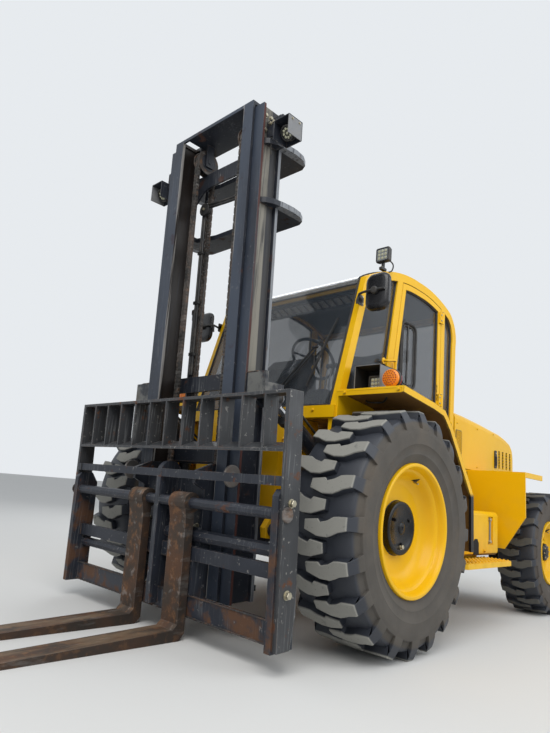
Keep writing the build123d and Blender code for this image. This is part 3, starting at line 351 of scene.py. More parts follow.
class Finish:
    """A material with nodes for its colour, wear and relief. Patterns sit in the piece's own metres."""

    def __init__(self, name, colour, roughness=0.5, metallic=0.0, **fixed):
        self.material = bpy.data.materials.new(name)
        self.material.use_nodes = True
        self.tree = self.material.node_tree
        self.tree.nodes.clear()
        self.surface = self.tree.nodes.new("ShaderNodeBsdfPrincipled")
        output = self.tree.nodes.new("ShaderNodeOutputMaterial")
        self.tree.links.new(self.surface.outputs[0], output.inputs[0])
        self.surface.inputs["Metallic"].default_value = metallic
        for socket, value in fixed.items():
            self.surface.inputs[socket.replace("_", " ")].default_value = value
        self.places = self.tree.nodes.new("ShaderNodeTexCoord")
        self.base = (*colour, 1.0)
        self.rough = roughness
        self.surface.inputs["Base Color"].default_value = self.base
        self.surface.inputs["Roughness"].default_value = roughness
        self.relief = None

    def set(self, socket, value):
        """Puts a number, a colour or another node's output on a socket."""
        if isinstance(value, bpy.types.NodeSocket):
            self.tree.links.new(value, socket)
        else:
            socket.default_value = value

    def math(self, operation, first, second=0.0, clamp=False):
        """One step of arithmetic on numbers or other nodes' outputs."""
        node = self.tree.nodes.new("ShaderNodeMath")
        node.operation = operation
        node.use_clamp = clamp
        self.set(node.inputs[0], first)
        self.set(node.inputs[1], second)
        return node.outputs[0]

    def times(self, *values):
        """Product of several values."""
        product = values[0]
        for value in values[1:]:
            product = self.math("MULTIPLY", product, value)
        return product

    def step(self, value, low, high, end=1.0):
        """0 below low, the end value above high, and smooth between."""
        node = self.tree.nodes.new("ShaderNodeMapRange")
        node.interpolation_type = "SMOOTHSTEP"
        for socket, number in zip(list(node.inputs)[:5], (value, low, high, 0.0, end)):
            self.set(socket, number)
        return node.outputs[0]

    def fade(self, value, low, high):
        """1 below low and 0 above high."""
        return self.math("SUBTRACT", 1.0, self.step(value, low, high), clamp=True)

    def zone(self, value, low, high, soft=1.0):
        """1 between two limits, 0 outside them."""
        above = self.step(value, low - soft, low)
        return self.math("SUBTRACT", above, self.step(value, high, high + soft))

    def noise(self, scale, detail=5.0, stretch=(1, 1, 1)):
        """Cloudy pattern, scale in cells a metre, stretched along the axes."""
        place = self.tree.nodes.new("ShaderNodeMapping")
        place.inputs["Scale"].default_value = [scale * amount for amount in stretch]
        self.tree.links.new(self.places.outputs["Object"], place.inputs[0])
        node = self.tree.nodes.new("ShaderNodeTexNoise")
        node.inputs["Scale"].default_value = 1.0
        node.inputs["Detail"].default_value = detail
        node.inputs["Roughness"].default_value = 0.6
        self.tree.links.new(place.outputs[0], node.inputs["Vector"])
        return node.outputs[0]

    def patches(self, scale, detail, low, high, end=1.0, stretch=(1, 1, 1)):
        """Cloudy patches: 0 where the pattern is below low, the end value where it is above high."""
        return self.step(self.noise(scale, detail, stretch), low, high, end)

    def along(self, axis, source="Object"):
        """Place along X, Y or Z (0, 1, 2), or that part of the surface's direction."""
        node = self.tree.nodes.new("ShaderNodeSeparateXYZ")
        self.tree.links.new(self.places.outputs[source], node.inputs[0])
        return node.outputs[axis]

    def facing(self, axis):
        """How far the surface looks along X, Y or Z, from -1 to 1."""
        return self.along(axis, "Normal")

    def machine_place(self):
        """Place in the machine's millimetres, as x from the middle, y from the front axle, and height."""
        x = self.times(self.math("ABSOLUTE", self.along(0)), 1 / MM)
        y = self.times(self.math("SUBTRACT", self.along(1), FRONT_HUB.y), 1 / MM)
        return x, y, self.times(self.along(2), 1 / MM)

    def mast_place(self):
        """Place in the mast's millimetres, as u from the middle, v and w."""
        u, y, z = self.machine_place()
        y = self.math("SUBTRACT", y, MAST_FOOT_Y)
        v = self.math("ADD", self.times(y, cos(MAST_LEAN)), self.times(z, sin(MAST_LEAN)))
        w = self.math("SUBTRACT", self.times(z, cos(MAST_LEAN)), self.times(y, sin(MAST_LEAN)))
        return u, v, w

    def edges(self, width):
        """1 on edges within a width in millimetres, else 0."""
        bevel = self.tree.nodes.new("ShaderNodeBevel")
        bevel.samples = 4
        bevel.inputs["Radius"].default_value = width * MM
        shape = self.tree.nodes.new("ShaderNodeNewGeometry")
        dot = self.tree.nodes.new("ShaderNodeVectorMath")
        dot.operation = "DOT_PRODUCT"
        self.tree.links.new(bevel.outputs[0], dot.inputs[0])
        self.tree.links.new(shape.outputs["Normal"], dot.inputs[1])
        return self.fade(dot.outputs["Value"], 0.86, 0.985)

    def tint(self, amount, colour):
        """Lays a colour over what is there."""
        node = self.tree.nodes.new("ShaderNodeMix")
        node.data_type = "RGBA"
        self.set(node.inputs["Factor"], amount)
        self.set(node.inputs[6], self.base)
        self.set(node.inputs[7], (*colour, 1.0))
        self.base = node.outputs[2]
        self.set(self.surface.inputs["Base Color"], self.base)

    def dull(self, amount, roughness):
        """Moves the roughness towards a value."""
        node = self.tree.nodes.new("ShaderNodeMix")
        self.set(node.inputs["Factor"], amount)
        self.set(node.inputs[2], self.rough)
        self.set(node.inputs[3], roughness)
        self.rough = node.outputs[0]
        self.set(self.surface.inputs["Roughness"], self.rough)

    def cover(self, amount, colour, roughness):
        """Lays dirt, rust, bare steel or painted shade over what is there, with its roughness."""
        self.tint(amount, colour)
        self.dull(amount, roughness)

    def bump(self, height, depth, strength=1.0, rounding=0.0):
        """Relief of a depth in millimetres, and edges rounded by shading."""
        node = self.tree.nodes.new("ShaderNodeBump")
        node.inputs["Strength"].default_value = strength
        node.inputs["Distance"].default_value = depth * MM
        self.set(node.inputs["Height"], height)
        if self.relief:
            self.set(node.inputs["Normal"], self.relief)
        elif rounding:
            bevel = self.tree.nodes.new("ShaderNodeBevel")
            bevel.samples = 4
            bevel.inputs["Radius"].default_value = rounding * MM
            self.set(node.inputs["Normal"], bevel.outputs[0])
        self.relief = node.outputs[0]
        self.set(self.surface.inputs["Normal"], self.relief)


def yellow_paint(name, colour, dust, chips, rounding=2.5, under_dirt_and_shade=0.88):
    """Gloss machine paint with road dust low down, a dark brown on downward faces that is dirt and painted shade,
    and chipped edges.
    """
    paint = Finish(name, colour, 0.31, Coat_Weight=0.05, Specular_IOR_Level=0.27)
    paint.tint(paint.patches(2.2, 4, 0.42, 0.72, 0.35), (colour[0] * 0.86, colour[1] * 0.8, colour[2]))
    grime = paint.noise(9, 8)
    low = paint.fade(paint.along(2), 0.35, 1.15)
    film = paint.times(paint.step(grime, 0.4, 0.72), low, dust)
    paint.tint(paint.times(film, 0.4), (0.36, 0.24, 0.1))
    paint.dull(film, 0.8)
    # Downward faces turn dark brown: dirt and painted shade
    under = paint.step(paint.facing(2), -0.3, -0.65)
    paint.cover(paint.times(under, paint.step(grime, 0.2, 0.5, under_dirt_and_shade)), (0.12, 0.068, 0.03), 0.85)
    chip = paint.times(paint.edges(2.2), paint.patches(45, 6, 0.56, 0.66))
    paint.tint(paint.times(chip, chips), (0.12, 0.055, 0.025))
    paint.dull(chip, 0.7)
    paint.dull(paint.patches(25, 5, 0.35, 0.8, 0.5), 0.5)
    paint.bump(paint.noise(160, 2), 0.15, 0.25, rounding)
    return paint


def worn_door(colour, dust, chips):
    """The door's paint, rubbed through on its rear post."""
    paint = yellow_paint("door_yellow", colour, dust, chips)
    x, y, z = paint.machine_place()
    post = paint.times(paint.zone(y, 1044, 1068, 8), paint.zone(z, 1570, 1672, 18), paint.step(x, 676, 679))
    paint.cover(paint.times(post, paint.patches(70, 6, 0.42, 0.5)), (0.03, 0.02, 0.014), 0.8)
    return paint


def fender_paint(colour, dust, chips):
    """The fenders' paint: brown inside the arch that is dirt and painted shade, near black low on the outer edge,
    and a rusty rim.
    """
    paint = yellow_paint("fender_yellow", colour, dust, chips)
    x, y, z = paint.machine_place()
    # Inside the arch, faces looking ahead and down turn brown: dirt and painted shade
    forward = paint.step(paint.times(paint.facing(1), -1), 0.2, 0.45)
    downward = paint.step(paint.times(paint.facing(2), -1), 0.4, 0.7, 0.7)
    arch_faces = paint.math("MAXIMUM", paint.times(forward, paint.step(y, -160, -100)), downward)
    dirt = paint.times(paint.zone(x, FENDER_IN, FENDER_OUT, 4), arch_faces,
                       paint.patches(8, 7, 0.2, 0.4, 0.95))
    paint.cover(dirt, (0.24, 0.115, 0.035), 0.85)
    # Near black on the fenders' outer edge below 850 to 880 mm
    foot = paint.times(paint.step(x, FENDER_OUT - 1, FENDER_OUT + 2), paint.fade(z, 850, 880))
    paint.tint(foot, (0.012, 0.011, 0.01))
    rim = paint.times(paint.edges(6), paint.step(x, FENDER_OUT - 3, FENDER_OUT + 3),
                      paint.patches(24, 7, 0.36, 0.5))
    paint.cover(rim, (0.06, 0.028, 0.018), 0.8)
    return paint


def satin_black(name, colour, scuffs, rust):
    """Dark satin paint, streaked and rubbed to grey steel, with rust on its edges."""
    paint = Finish(name, colour, 0.42, Specular_IOR_Level=0.33)
    cloud = paint.noise(5, 5)
    paint.tint(paint.step(cloud, 0.4, 0.75, 0.5), shade(colour, 1.7, 0.003))
    rubbed = paint.times(paint.patches(1, 8, 0.52, 0.66, 1.0, (90, 90, 2.4)),
                         paint.patches(3, 4, 0.4, 0.65))
    paint.tint(paint.times(rubbed, scuffs), (0.17, 0.175, 0.18))
    paint.tint(paint.times(paint.patches(38, 9, 0.63, 0.68), scuffs), (0.26, 0.25, 0.235))
    worn = paint.times(paint.edges(3.5), paint.patches(14, 6, 0.4, 0.6))
    paint.tint(paint.times(worn, scuffs), (0.3, 0.295, 0.285))
    spots = paint.patches(11, 9, 0.6, 0.68)
    spots = paint.math("MAXIMUM", spots, paint.times(worn, paint.step(cloud, 0.45, 0.6)))
    paint.tint(paint.times(spots, rust), (0.15, 0.055, 0.02))
    paint.dull(spots, 0.85)
    paint.bump(paint.noise(120, 4), 0.3, 0.35, 2.0)
    return paint


def sky_sheen_faces(paint, low, high, colour):
    """Tints the front faces of a pair of rails bluish between two v, a painted reflection of the sky, and gives
    back u, v and w.
    """
    u, v, w = paint.mast_place()
    # Bluish cloudy patches on the front faces: painted reflection of the sky
    worn = paint.times(paint.zone(v, low, high, 1.5), paint.patches(2, 5, 0.3, 0.6, 0.75, (1, 1, 0.3)))
    paint.tint(worn, colour)
    return u, v, w


def outer_rail_paint(colour):
    """The outer rails: web rubbed bare with a painted shadow by the rear flange, a rust line behind the front
    flange and a painted highlight on the rear edge.
    """
    paint = satin_black("outer_rail_black", colour, 0.35, 0.3)
    u, v, w = sky_sheen_faces(paint, 22, 26, (0.048, 0.062, 0.09))
    streaks = paint.noise(1, 7, (55, 55, 1.6))
    web = paint.times(paint.zone(u, 438.5, 442, 1), paint.zone(v, 47, 172, 5), paint.step(w, 1150, 1500))
    paint.tint(paint.times(web, paint.step(streaks, 0.28, 0.5, 0.92)), (0.255, 0.24, 0.205))
    paint.dull(web, 0.7)
    mottle = paint.times(web, paint.patches(3, 6, 0.45, 0.62, 0.75, (1, 1, 0.35)))
    paint.tint(mottle, (0.07, 0.066, 0.06))
    # Web darkened near the rear flange: painted shadow
    paint.tint(paint.times(web, paint.zone(v, 128, 172, 8), 0.85), (0.02, 0.023, 0.032))
    line = paint.times(paint.zone(u, 455, 466, 2), paint.zone(v, 30, 45, 4))
    paint.cover(paint.times(line, paint.step(streaks, 0.34, 0.52, 0.9)), (0.085, 0.03, 0.024), 0.8)
    # Pale bluish line on the rear flange's outer edge: painted highlight
    rear = paint.times(paint.step(u, 461, 463), paint.step(v, 177, 181), paint.step(streaks, 0.3, 0.5, 0.8))
    paint.tint(rear, (0.25, 0.265, 0.29))
    bracket = paint.times(paint.zone(u, 480, 625, 6), paint.zone(w, 1300, 1440, 10))
    paint.tint(paint.times(bracket, paint.patches(8, 8, 0.4, 0.55), 0.7), (0.2, 0.2, 0.185))
    return paint


def inner_rail_paint(colour):
    """The inner rails: bluish front faces that are a painted sky reflection, greasy brown running faces and silver
    edge lines.
    """
    paint = satin_black("inner_rail_black", colour, 0.5, 0.35)
    u, v, _ = sky_sheen_faces(paint, -2, 2, (0.05, 0.065, 0.095))
    streaks = paint.noise(1, 7, (50, 50, 1.3))
    grease = paint.times(paint.zone(u, 300, 342, 2), paint.zone(v, 4, 150, 4))
    paint.cover(paint.times(grease, paint.step(streaks, 0.25, 0.42, 0.95)), (0.014, 0.01, 0.008), 0.4)
    lip = paint.times(paint.zone(u, 300, 311, 2), paint.zone(v, -3, 21, 2))
    paint.tint(paint.times(lip, paint.step(streaks, 0.42, 0.56, 0.85)), (0.3, 0.29, 0.28))
    return paint


def carriage_paint(colour):
    """The carriage: worn black paint that turns rust brown low down and on the side plates."""
    paint = satin_black("carriage_black", colour, 0.6, 0.55)
    u, _, w = paint.mast_place()
    low = paint.fade(w, 205, 300)
    side = paint.times(paint.step(u, 899, 903), paint.fade(w, 500, 800))
    rust = paint.times(paint.math("MAXIMUM", low, side), paint.patches(7, 9, 0.46, 0.6, 0.8))
    paint.cover(rust, (0.12, 0.055, 0.025), 0.8)
    return paint


def tyre_rubber(name, hub, radius, depth, worn_top, side):
    """Rubber that is grey where the lugs wear, near black between them and dusty on the side."""
    rubber = Finish(name, side, 0.78)
    y = rubber.math("SUBTRACT", rubber.along(1), hub.y)
    z = rubber.math("SUBTRACT", rubber.along(2), hub.z)
    reach = rubber.math("SQRT", rubber.math("ADD", rubber.times(y, y), rubber.times(z, z)))
    radius, depth = radius * MM, depth * MM
    rubber.tint(rubber.patches(7, 6, 0.35, 0.7, 0.55), shade(side, 1.5))
    rubber.tint(rubber.patches(3, 8, 0.5, 0.75, 0.5), (0.12, 0.095, 0.07))
    hollow = rubber.step(reach, radius - depth * 1.75, radius - depth * 1.3)
    rubber.cover(hollow, (0.024, 0.028, 0.038), 0.5)
    worn = rubber.step(reach, radius - depth * 0.26, radius - depth * 0.1)
    rubber.cover(rubber.times(worn, rubber.patches(22, 8, 0.15, 0.42, 0.97)), worn_top, 0.92)
    cuts = rubber.times(worn, rubber.patches(80, 5, 0.64, 0.72, 0.8))
    rubber.tint(cuts, (0.09, 0.085, 0.08))
    rubber.bump(rubber.noise(70, 7), 0.9, 0.5)
    return rubber


def worn_steel(name, colour, roughness, rust, grey):
    """Bare or rusty steel: brown scale with greyer rubbed places."""
    metal = Finish(name, colour, roughness, 0.35)
    cloud = metal.noise(6, 8)
    metal.tint(metal.step(cloud, 0.4, 0.62, rust), (0.14, 0.06, 0.026))
    metal.tint(metal.patches(24, 9, 0.52, 0.66, rust), (0.235, 0.115, 0.05))
    rubbed = metal.math("MAXIMUM", metal.patches(16, 9, 0.55, 0.68, 1.0, (1, 0.25, 1)),
                        metal.times(metal.edges(4), metal.step(cloud, 0.35, 0.55)))
    metal.tint(metal.times(rubbed, grey), (0.3, 0.29, 0.275))
    metal.dull(rubbed, 0.45)
    metal.bump(metal.noise(150, 6), 0.5, 0.5, 2.0)
    return metal


def fork_steel():
    """The forks: brown with a pale rubbed top, and sides darkened as painted shade."""
    metal = worn_steel("fork_steel", (0.055, 0.04, 0.031), 0.72, 0.6, 0.4)
    up = metal.step(metal.facing(2), 0.5, 0.9)
    rub = metal.times(up, metal.patches(1, 7, 0.42, 0.62, 0.75, (14, 2, 14)))
    metal.tint(rub, (0.23, 0.16, 0.1))
    # Faces looking sideways darkened: painted shade
    side = metal.step(metal.math("ABSOLUTE", metal.facing(0)), 0.6, 0.9, 0.5)
    metal.tint(side, (0.022, 0.018, 0.016))
    return metal


def plain(name, colour, roughness, metallic=0.0, grain=220, depth=0.15, dust=0.0, **fixed):
    """Even finish with a fine grain and a little dust."""
    surface = Finish(name, colour, roughness, metallic, **fixed)
    cloud = surface.noise(12, 6)
    surface.tint(surface.step(cloud, 0.35, 0.75, 0.35), shade(colour, 1.5, 0.004))
    if dust:
        surface.tint(surface.patches(20, 7, 0.45, 0.7, dust), (0.24, 0.2, 0.15))
    surface.dull(surface.step(cloud, 0.4, 0.7, 0.3), min(roughness + 0.25, 1.0))
    surface.bump(surface.noise(grain, 3), depth, 0.4)
    return surface


def seat_vinyl():
    """Black grained vinyl with a faint sheen."""
    vinyl = Finish("seat_vinyl", (0.02, 0.02, 0.022), 0.46, Sheen_Weight=0.12)
    grain = vinyl.tree.nodes.new("ShaderNodeTexVoronoi")
    grain.inputs["Scale"].default_value = 420
    vinyl.tree.links.new(vinyl.places.outputs["Object"], grain.inputs["Vector"])
    vinyl.tint(vinyl.patches(9, 6, 0.4, 0.7, 0.4), (0.045, 0.043, 0.042))
    vinyl.dull(vinyl.patches(14, 5, 0.4, 0.7, 0.5), 0.65)
    vinyl.bump(grain.outputs["Distance"], 0.3, 0.5)
    return vinyl


def window_glass(name, colour, alpha):
    """Tinted safety glass with a faint film of dust."""
    pane = Finish(name, colour, 0.03, Alpha=alpha, IOR=1.5, Specular_IOR_Level=1.0)
    pane.dull(pane.patches(6, 6, 0.5, 0.8, 0.25), 0.2)
    pane.tint(pane.patches(3, 7, 0.5, 0.8, 0.25), shade(colour, 1.5))
    return pane


def make_finishes(paint, tyres):
    """Every finish of the machine, by name."""
    yellow, black, dust, chips = tuple(paint.yellow), tuple(paint.black), paint.dust, paint.chips
    darker = (yellow[0] * 0.93, yellow[1] * 0.88, yellow[2])
    finishes = {
        "body": yellow_paint("body_yellow", yellow, dust, chips),
        "frame": yellow_paint("frame_yellow", darker, dust, 0.8),
        "door": worn_door(yellow, dust, chips),
        "fender": fender_paint(yellow, dust, chips),
        "wheel": yellow_paint("wheel_yellow", (*yellow[:2], yellow[2] * 0.5), dust / 4, 0.1, 1.0, 0.05),
        "mast": satin_black("mast_black", black, 0.35, 0.35),
        "outer rail": outer_rail_paint(black),
        "inner rail": inner_rail_paint(black),
        "carriage": carriage_paint(shade(black, 1.2)),
        "grate": satin_black("backrest_grey", (0.042, 0.044, 0.048), 0.95, 0.7),
        "axle": satin_black("axle_black", (0.02, 0.02, 0.021), 0.2, 0.15),
        "hub": plain("hub_black", (0.003, 0.003, 0.004), 0.25, 0, 60, 0.3, Specular_IOR_Level=0.28),
        "iron": plain("engine_iron", (0.05, 0.05, 0.052), 0.6, 0.4, 140, 0.4, 0.3),
        "fork": fork_steel(),
        "shaft": worn_steel("shaft_steel", (0.05, 0.045, 0.042), 0.6, 0.4, 0.5),
        "weld": worn_steel("weld_bead", (0.03, 0.03, 0.032), 0.6, 0.35, 0.25),
        "roller": worn_steel("roller_steel", (0.2, 0.19, 0.18), 0.5, 0.2, 0.8),
        "chrome": plain("rod_chrome", (0.5, 0.51, 0.53), 0.22, 1.0, 300, 0.03),
        "chain": worn_steel("chain_steel", (0.03, 0.028, 0.026), 0.45, 0.25, 0.45),
        "front rubber": tyre_rubber("tyre_rubber_front", FRONT_HUB, FRONT_RADIUS, tyres.front_depth,
                                    shade(tyres.worn, 0.84), (0.066, 0.059, 0.051)),
        "rear rubber": tyre_rubber("tyre_rubber_rear", REAR_HUB, REAR_RADIUS, tyres.rear_depth,
                                   shade(tyres.worn, 0.32), (0.06, 0.05, 0.042)),
        "glass": window_glass("tinted_glass", (0.055, 0.066, 0.08), 0.42),
        "plastic": plain("black_plastic", (0.018, 0.018, 0.019), 0.5, 0, 400, 0.12, 0.15),
        "grey": plain("grey_plastic", (0.17, 0.175, 0.185), 0.45, 0, 300, 0.12, 0.15),
        "rubber": plain("seal_rubber", (0.012, 0.012, 0.013), 0.65, 0, 250, 0.2, 0.1),
        "hose": plain("hose_rubber", (0.02, 0.02, 0.021), 0.45, 0, 300, 0.15, 0.2),
        "vinyl": seat_vinyl(),
        "zinc": plain("zinc_plate", (0.42, 0.39, 0.3), 0.38, 0.9, 260, 0.05, 0.2),
        "amber": plain("amber_lens", (0.8, 0.24, 0.006), 0.25, 0, 90, 0.4, IOR=1.5),
        "red": plain("red_lens", (0.55, 0.01, 0.01), 0.15, 0, 90, 0.3, IOR=1.5),
        "lens": plain("clear_lens", (0.2, 0.215, 0.23), 0.12, 0, 90, 0.3, IOR=1.5),
        "led": plain("led_chip", (0.4, 0.4, 0.29), 0.25, 0, 90, 0.2),
        "mirror": plain("mirror_face", (0.7, 0.72, 0.74), 0.05, 1.0, 60, 0.02),
        "roof_light": plain("painted_roof_light", (0.5, 0.52, 0.55), 0.6, 0, 300, 0.1),
        "gloss": plain("gloss_plastic", (0.009, 0.009, 0.011), 0.24, 0, 60, 0.1),
        "dot": plain("amber_prism", (0.33, 0.055, 0.003), 0.4, 0, 90, 0.1),
        "lining_and_shade": plain("cab_lining_and_painted_shade", (0.006, 0.006, 0.007), 0.9, 0, 300, 0.5),
        "dial": plain("dial_face", (0.6, 0.6, 0.57), 0.4, 0, 300, 0.05),
    }
    F.update({name: finish.material for name, finish in finishes.items()})


SLOT_FINISH = {
    "body_yellow": "body", "frame_yellow": "frame", "cast_yellow": "frame", "wheel_yellow": "wheel",
    "mast_black": "mast", "axle_black": "axle", "engine_iron": "iron", "fork_steel": "fork",
    "rod_chrome": "chrome", "chain_steel": "chain", "tyre_rubber": "rubber", "tinted_glass": "glass",
    "black_plastic": "plastic", "seat_vinyl": "vinyl", "lamp_plastic": "grey",
}
NODE_FINISH = {"load_backrest": "grate", "inner_mast": "inner rail", "outer_mast": "outer rail",
               "carriage_frame": "carriage", "front_fenders": "fender", "cab_door": "door"}


def dress_nodes():
    """Gives each CAD node the finish of its slot, or its own."""
    for part in frame["record"]["subparts"]:
        node = frame["nodes"][part["node"]]
        finish = NODE_FINISH.get(part["node"], SLOT_FINISH[part["material_slot"]])
        node.data.materials.clear()
        node.data.materials.append(F[finish])


# Studio

CAMERA_PLACE = (2.67, -3.143356, 0.7899)
CAMERA_TURN = (102.5627, -4.9794, 42.9418)
CAMERA_LENS = 27.19
CAMERA_SENSOR = 36
FLOOR_REACH = 60.0


def make_surround(studio):
    """World that lights softly and shows a pale background, also in gloss and through glass."""
    world = bpy.data.worlds.new("studio")
    bpy.context.scene.world = world
    world.use_nodes = True
    tree = world.node_tree
    tree.nodes.clear()
    output = tree.nodes.new("ShaderNodeOutputWorld")
    mix = tree.nodes.new("ShaderNodeMixShader")
    seen = tree.nodes.new("ShaderNodeBackground")
    seen.inputs[0].default_value = (*studio.surround, 1)
    light = tree.nodes.new("ShaderNodeBackground")
    light.inputs[0].default_value = (0.92, 0.96, 1.0, 1)
    light.inputs[1].default_value = studio.light
    ray = tree.nodes.new("ShaderNodeLightPath")
    total = ray.outputs["Is Camera Ray"]
    for kind in ("Is Glossy Ray", "Is Transmission Ray"):
        node = tree.nodes.new("ShaderNodeMath")
        node.operation = "ADD"
        node.use_clamp = True
        tree.links.new(total, node.inputs[0])
        tree.links.new(ray.outputs[kind], node.inputs[1])
        total = node.outputs[0]
    tree.links.new(total, mix.inputs[0])
    tree.links.new(light.outputs[0], mix.inputs[1])
    tree.links.new(seen.outputs[0], mix.inputs[2])
    tree.links.new(mix.outputs[0], output.inputs[0])


def make_stage(studio):
    """Pale floor, pale surround, soft light and the camera."""
    scene = bpy.context.scene
    scene.view_settings.view_transform = "Standard"
    make_surround(studio)
    floor = Finish("studio_floor", tuple(studio.floor), 0.9)
    floor.tint(floor.step(floor.noise(0.6, 3), 0.3, 0.8, 0.3), shade(studio.floor, 0.94))
    ground = bpy.data.meshes.new("studio_floor")
    corners = [(x * FLOOR_REACH, y * FLOOR_REACH, 0) for x, y in ((-1, -1), (1, -1), (1, 1), (-1, 1))]
    ground.from_pydata(corners, [], [(0, 1, 2, 3)])
    ground.materials.append(floor.material)
    plate = bpy.data.objects.new("studio_floor", ground)
    scene.collection.objects.link(plate)

    # name, place, aim, size, watts, colour
    lamps = [
        ("sky_key", (3.5, -4.5, 7.0), (0, 0, 1.2), 6.0, studio.key, (1.0, 0.985, 0.96)),
        ("sky_fill", (6.0, 2.5, 4.0), (0, 0, 1.0), 5.0, studio.key * 0.35, (0.95, 0.98, 1.0)),
        ("sky_back", (-5.0, 5.0, 5.5), (0, 0, 1.0), 5.0, studio.key * 0.38, (0.97, 0.99, 1.0)),
    ]
    for name, place, aim, size, watts, colour in lamps:
        data = bpy.data.lights.new(name, "AREA")
        data.size = size
        data.energy = watts
        data.color = colour
        lamp = bpy.data.objects.new(name, data)
        lamp.location = place
        lamp.rotation_euler = (Vector(aim) - Vector(place)).to_track_quat("-Z", "Y").to_euler()
        scene.collection.objects.link(lamp)

    data = bpy.data.cameras.new("camera")
    data.lens = CAMERA_LENS
    data.sensor_width = CAMERA_SENSOR
    data.clip_end = 200
    camera = bpy.data.objects.new("camera", data)
    camera.location = CAMERA_PLACE
    camera.rotation_euler = [radians(angle) for angle in CAMERA_TURN]
    scene.collection.objects.link(camera)
    scene.camera = camera


# Tyres and wheels

# Lug edges round the tread, in lug widths from its middle line:
# share of the half section, place of the lug's lower edge and of its upper edge
LUG_STATIONS = [
    (-0.25, -0.26, 0.22),
    (0.1, -0.51, 0.31),
    (0.16, -0.51, 0.15),
    (0.36, -0.51, 0.27),
    (0.51, -0.38, 0.46),
    (0.63, -0.24, 0.49),
    (0.845, -0.12, 0.51),
]
# The lug's foot on the sidewall: share of the half section, lug depths below the top, and the edges
BUTTRESS = [
    (0.915, 0.75, -0.13, 0.54),
    (0.965, 1.5, -0.15, 0.57),
    (0.992, 2.2, -0.17, 0.6),
    (0.985, 2.75, -0.17, 0.6),
]


def hub_space(hub):
    """Millimetres round a wheel's axis, with x from the machine's middle."""
    return Matrix.Translation((0, hub.y, hub.z)) @ Matrix.Scale(MM, 4)


def tyre_side(radius, half, rim_r, rim_w, depth):
    """Section of the tyre on one side from the bead to the tread's middle, as (x, radius)."""
    step = radius - depth * 2.35
    high = (rim_r + radius) / 2
    bead = rim_w / 2 - 15
    return [
        (bead - 22, rim_r + 1), (bead, rim_r + 1), (bead + 3, rim_r + 14),
        (half * 0.9, rim_r + 42), (half * 0.92, rim_r + 50), (half * 0.915, rim_r + 56),
        (half * 0.965, high - 46), (half * 0.985, high - 41), (half * 0.982, high - 34),
        (half, high + 18), (half * 0.998, step - 22), (half * 0.985, step - 3),
        (half * 0.925, step + 3), (half * 0.905, step + 16), (half * 0.855, radius - depth * 1.22),
        (half * 0.77, radius - depth), (half * 0.4, radius - depth * 0.94), (0, radius - depth * 0.92),
    ]


def make_tyre(name, body, node, finish, hub, radius, section, rim_r, rim_w, depth, lugs, width):
    """One tyre: a moulded carcass and two staggered rows of bent lugs with their buttresses."""
    form = Form(hub_space(hub))
    half = section / 2
    middle = abs(hub.x) / MM
    side = tyre_side(radius, half, rim_r, rim_w, depth)
    profile = [(middle + x, r) for x, r in side] + [(middle - x, r) for x, r in reversed(side[:-1])]
    form.turned(profile, (0, 0, 0), OUT, finish, 128, closed=True)
    pitch = 2 * pi / lugs
    root = radius - depth * 1.5
    draft = 0.07 * width

    def at(x, r, arc_length, angle):
        turn = angle + arc_length / r
        return (middle + x, r * sin(turn), r * cos(turn))

    for sign in (1, -1):
        for index in range(lugs):
            angle = pitch * (index + (0 if sign > 0 else 0.5))
            rings = []
            for share, low, high in LUG_STATIONS:
                x = sign * half * share
                low, high = low * width, high * width
                rings.append([at(x, root, low - draft, angle), at(x, radius, low, angle),
                              at(x, radius, high, angle), at(x, root, high + draft, angle)])
            for share, drop, low, high in BUTTRESS:
                x = sign * half * share
                r = radius - depth * drop
                inner = sign * half * (share - 0.16)
                low, high = low * width, high * width
                rings.append([at(inner, r - depth * 0.5, low, angle), at(x, r, low, angle),
                              at(x, r, high, angle), at(inner, r - depth * 0.5, high, angle)])
            form.loft(rings, finish)
    form.build(name, body, 3.5, (node,), flip=hub.x < 0)


def make_tyres(tyres):
    """The four lugged tyres."""
    rows = [
        # axle, hub, radius, section, rim radius, rim width, lug depth, lugs a side, lug width
        ("front", FRONT_HUB, FRONT_RADIUS, 445, 355, 390, tyres.front_depth, 20, 98),
        ("rear", REAR_HUB, REAR_RADIUS, 312, 250, 270, tyres.rear_depth, 18, 70),
    ]
    for axle, hub, radius, section, rim_r, rim_w, depth, lugs, width in rows:
        for side, sign in SIDES.items():
            place = Vector((hub.x * sign, hub.y, hub.z))
            make_tyre(f"{axle}_tyre_{side}_lugged", f"{side}_{axle}_wheel", f"{axle}_tyre_{side}",
                      f"{axle} rubber", place, radius, section, rim_r, rim_w, depth, lugs, width)


# Rims from the outer lip over the bowl and the disc to the back, as (x from the wheel's middle, radius)
FRONT_RIM = [(186, 356), (193, 353), (196, 346), (194, 337), (187, 331), (172, 326), (158, 323), (150, 319),
             (146, 311), (138, 304), (124, 297), (108, 290), (96, 283), (84, 273), (74, 261), (68, 248),
             (65, 234), (65, 120), (50, 120), (50, 238), (40, 272), (20, 302), (-20, 324), (-150, 336),
             (-186, 338), (-195, 342), (-196, 350), (-190, 356)]
REAR_RIM = [(128, 251), (134, 248), (136, 242), (134, 235), (128, 230), (116, 225), (106, 221), (101, 214),
            (92, 205), (80, 197), (66, 188), (56, 178), (48, 168), (44, 156), (44, 60), (30, 60), (30, 158),
            (22, 190), (0, 212), (-90, 231), (-128, 233), (-135, 238), (-136, 246), (-130, 251)]
FRONT_DRUM = [(-60, 20), (-60, 152), (48, 152), (50, 150), (67, 149), (68, 146), (72, 144), (92, 144),
              (100, 142), (103, 136), (103, 116), (101, 113), (101, 34), (104, 32), (107, 27), (107, 9),
              (103, 6), (103, 0)]
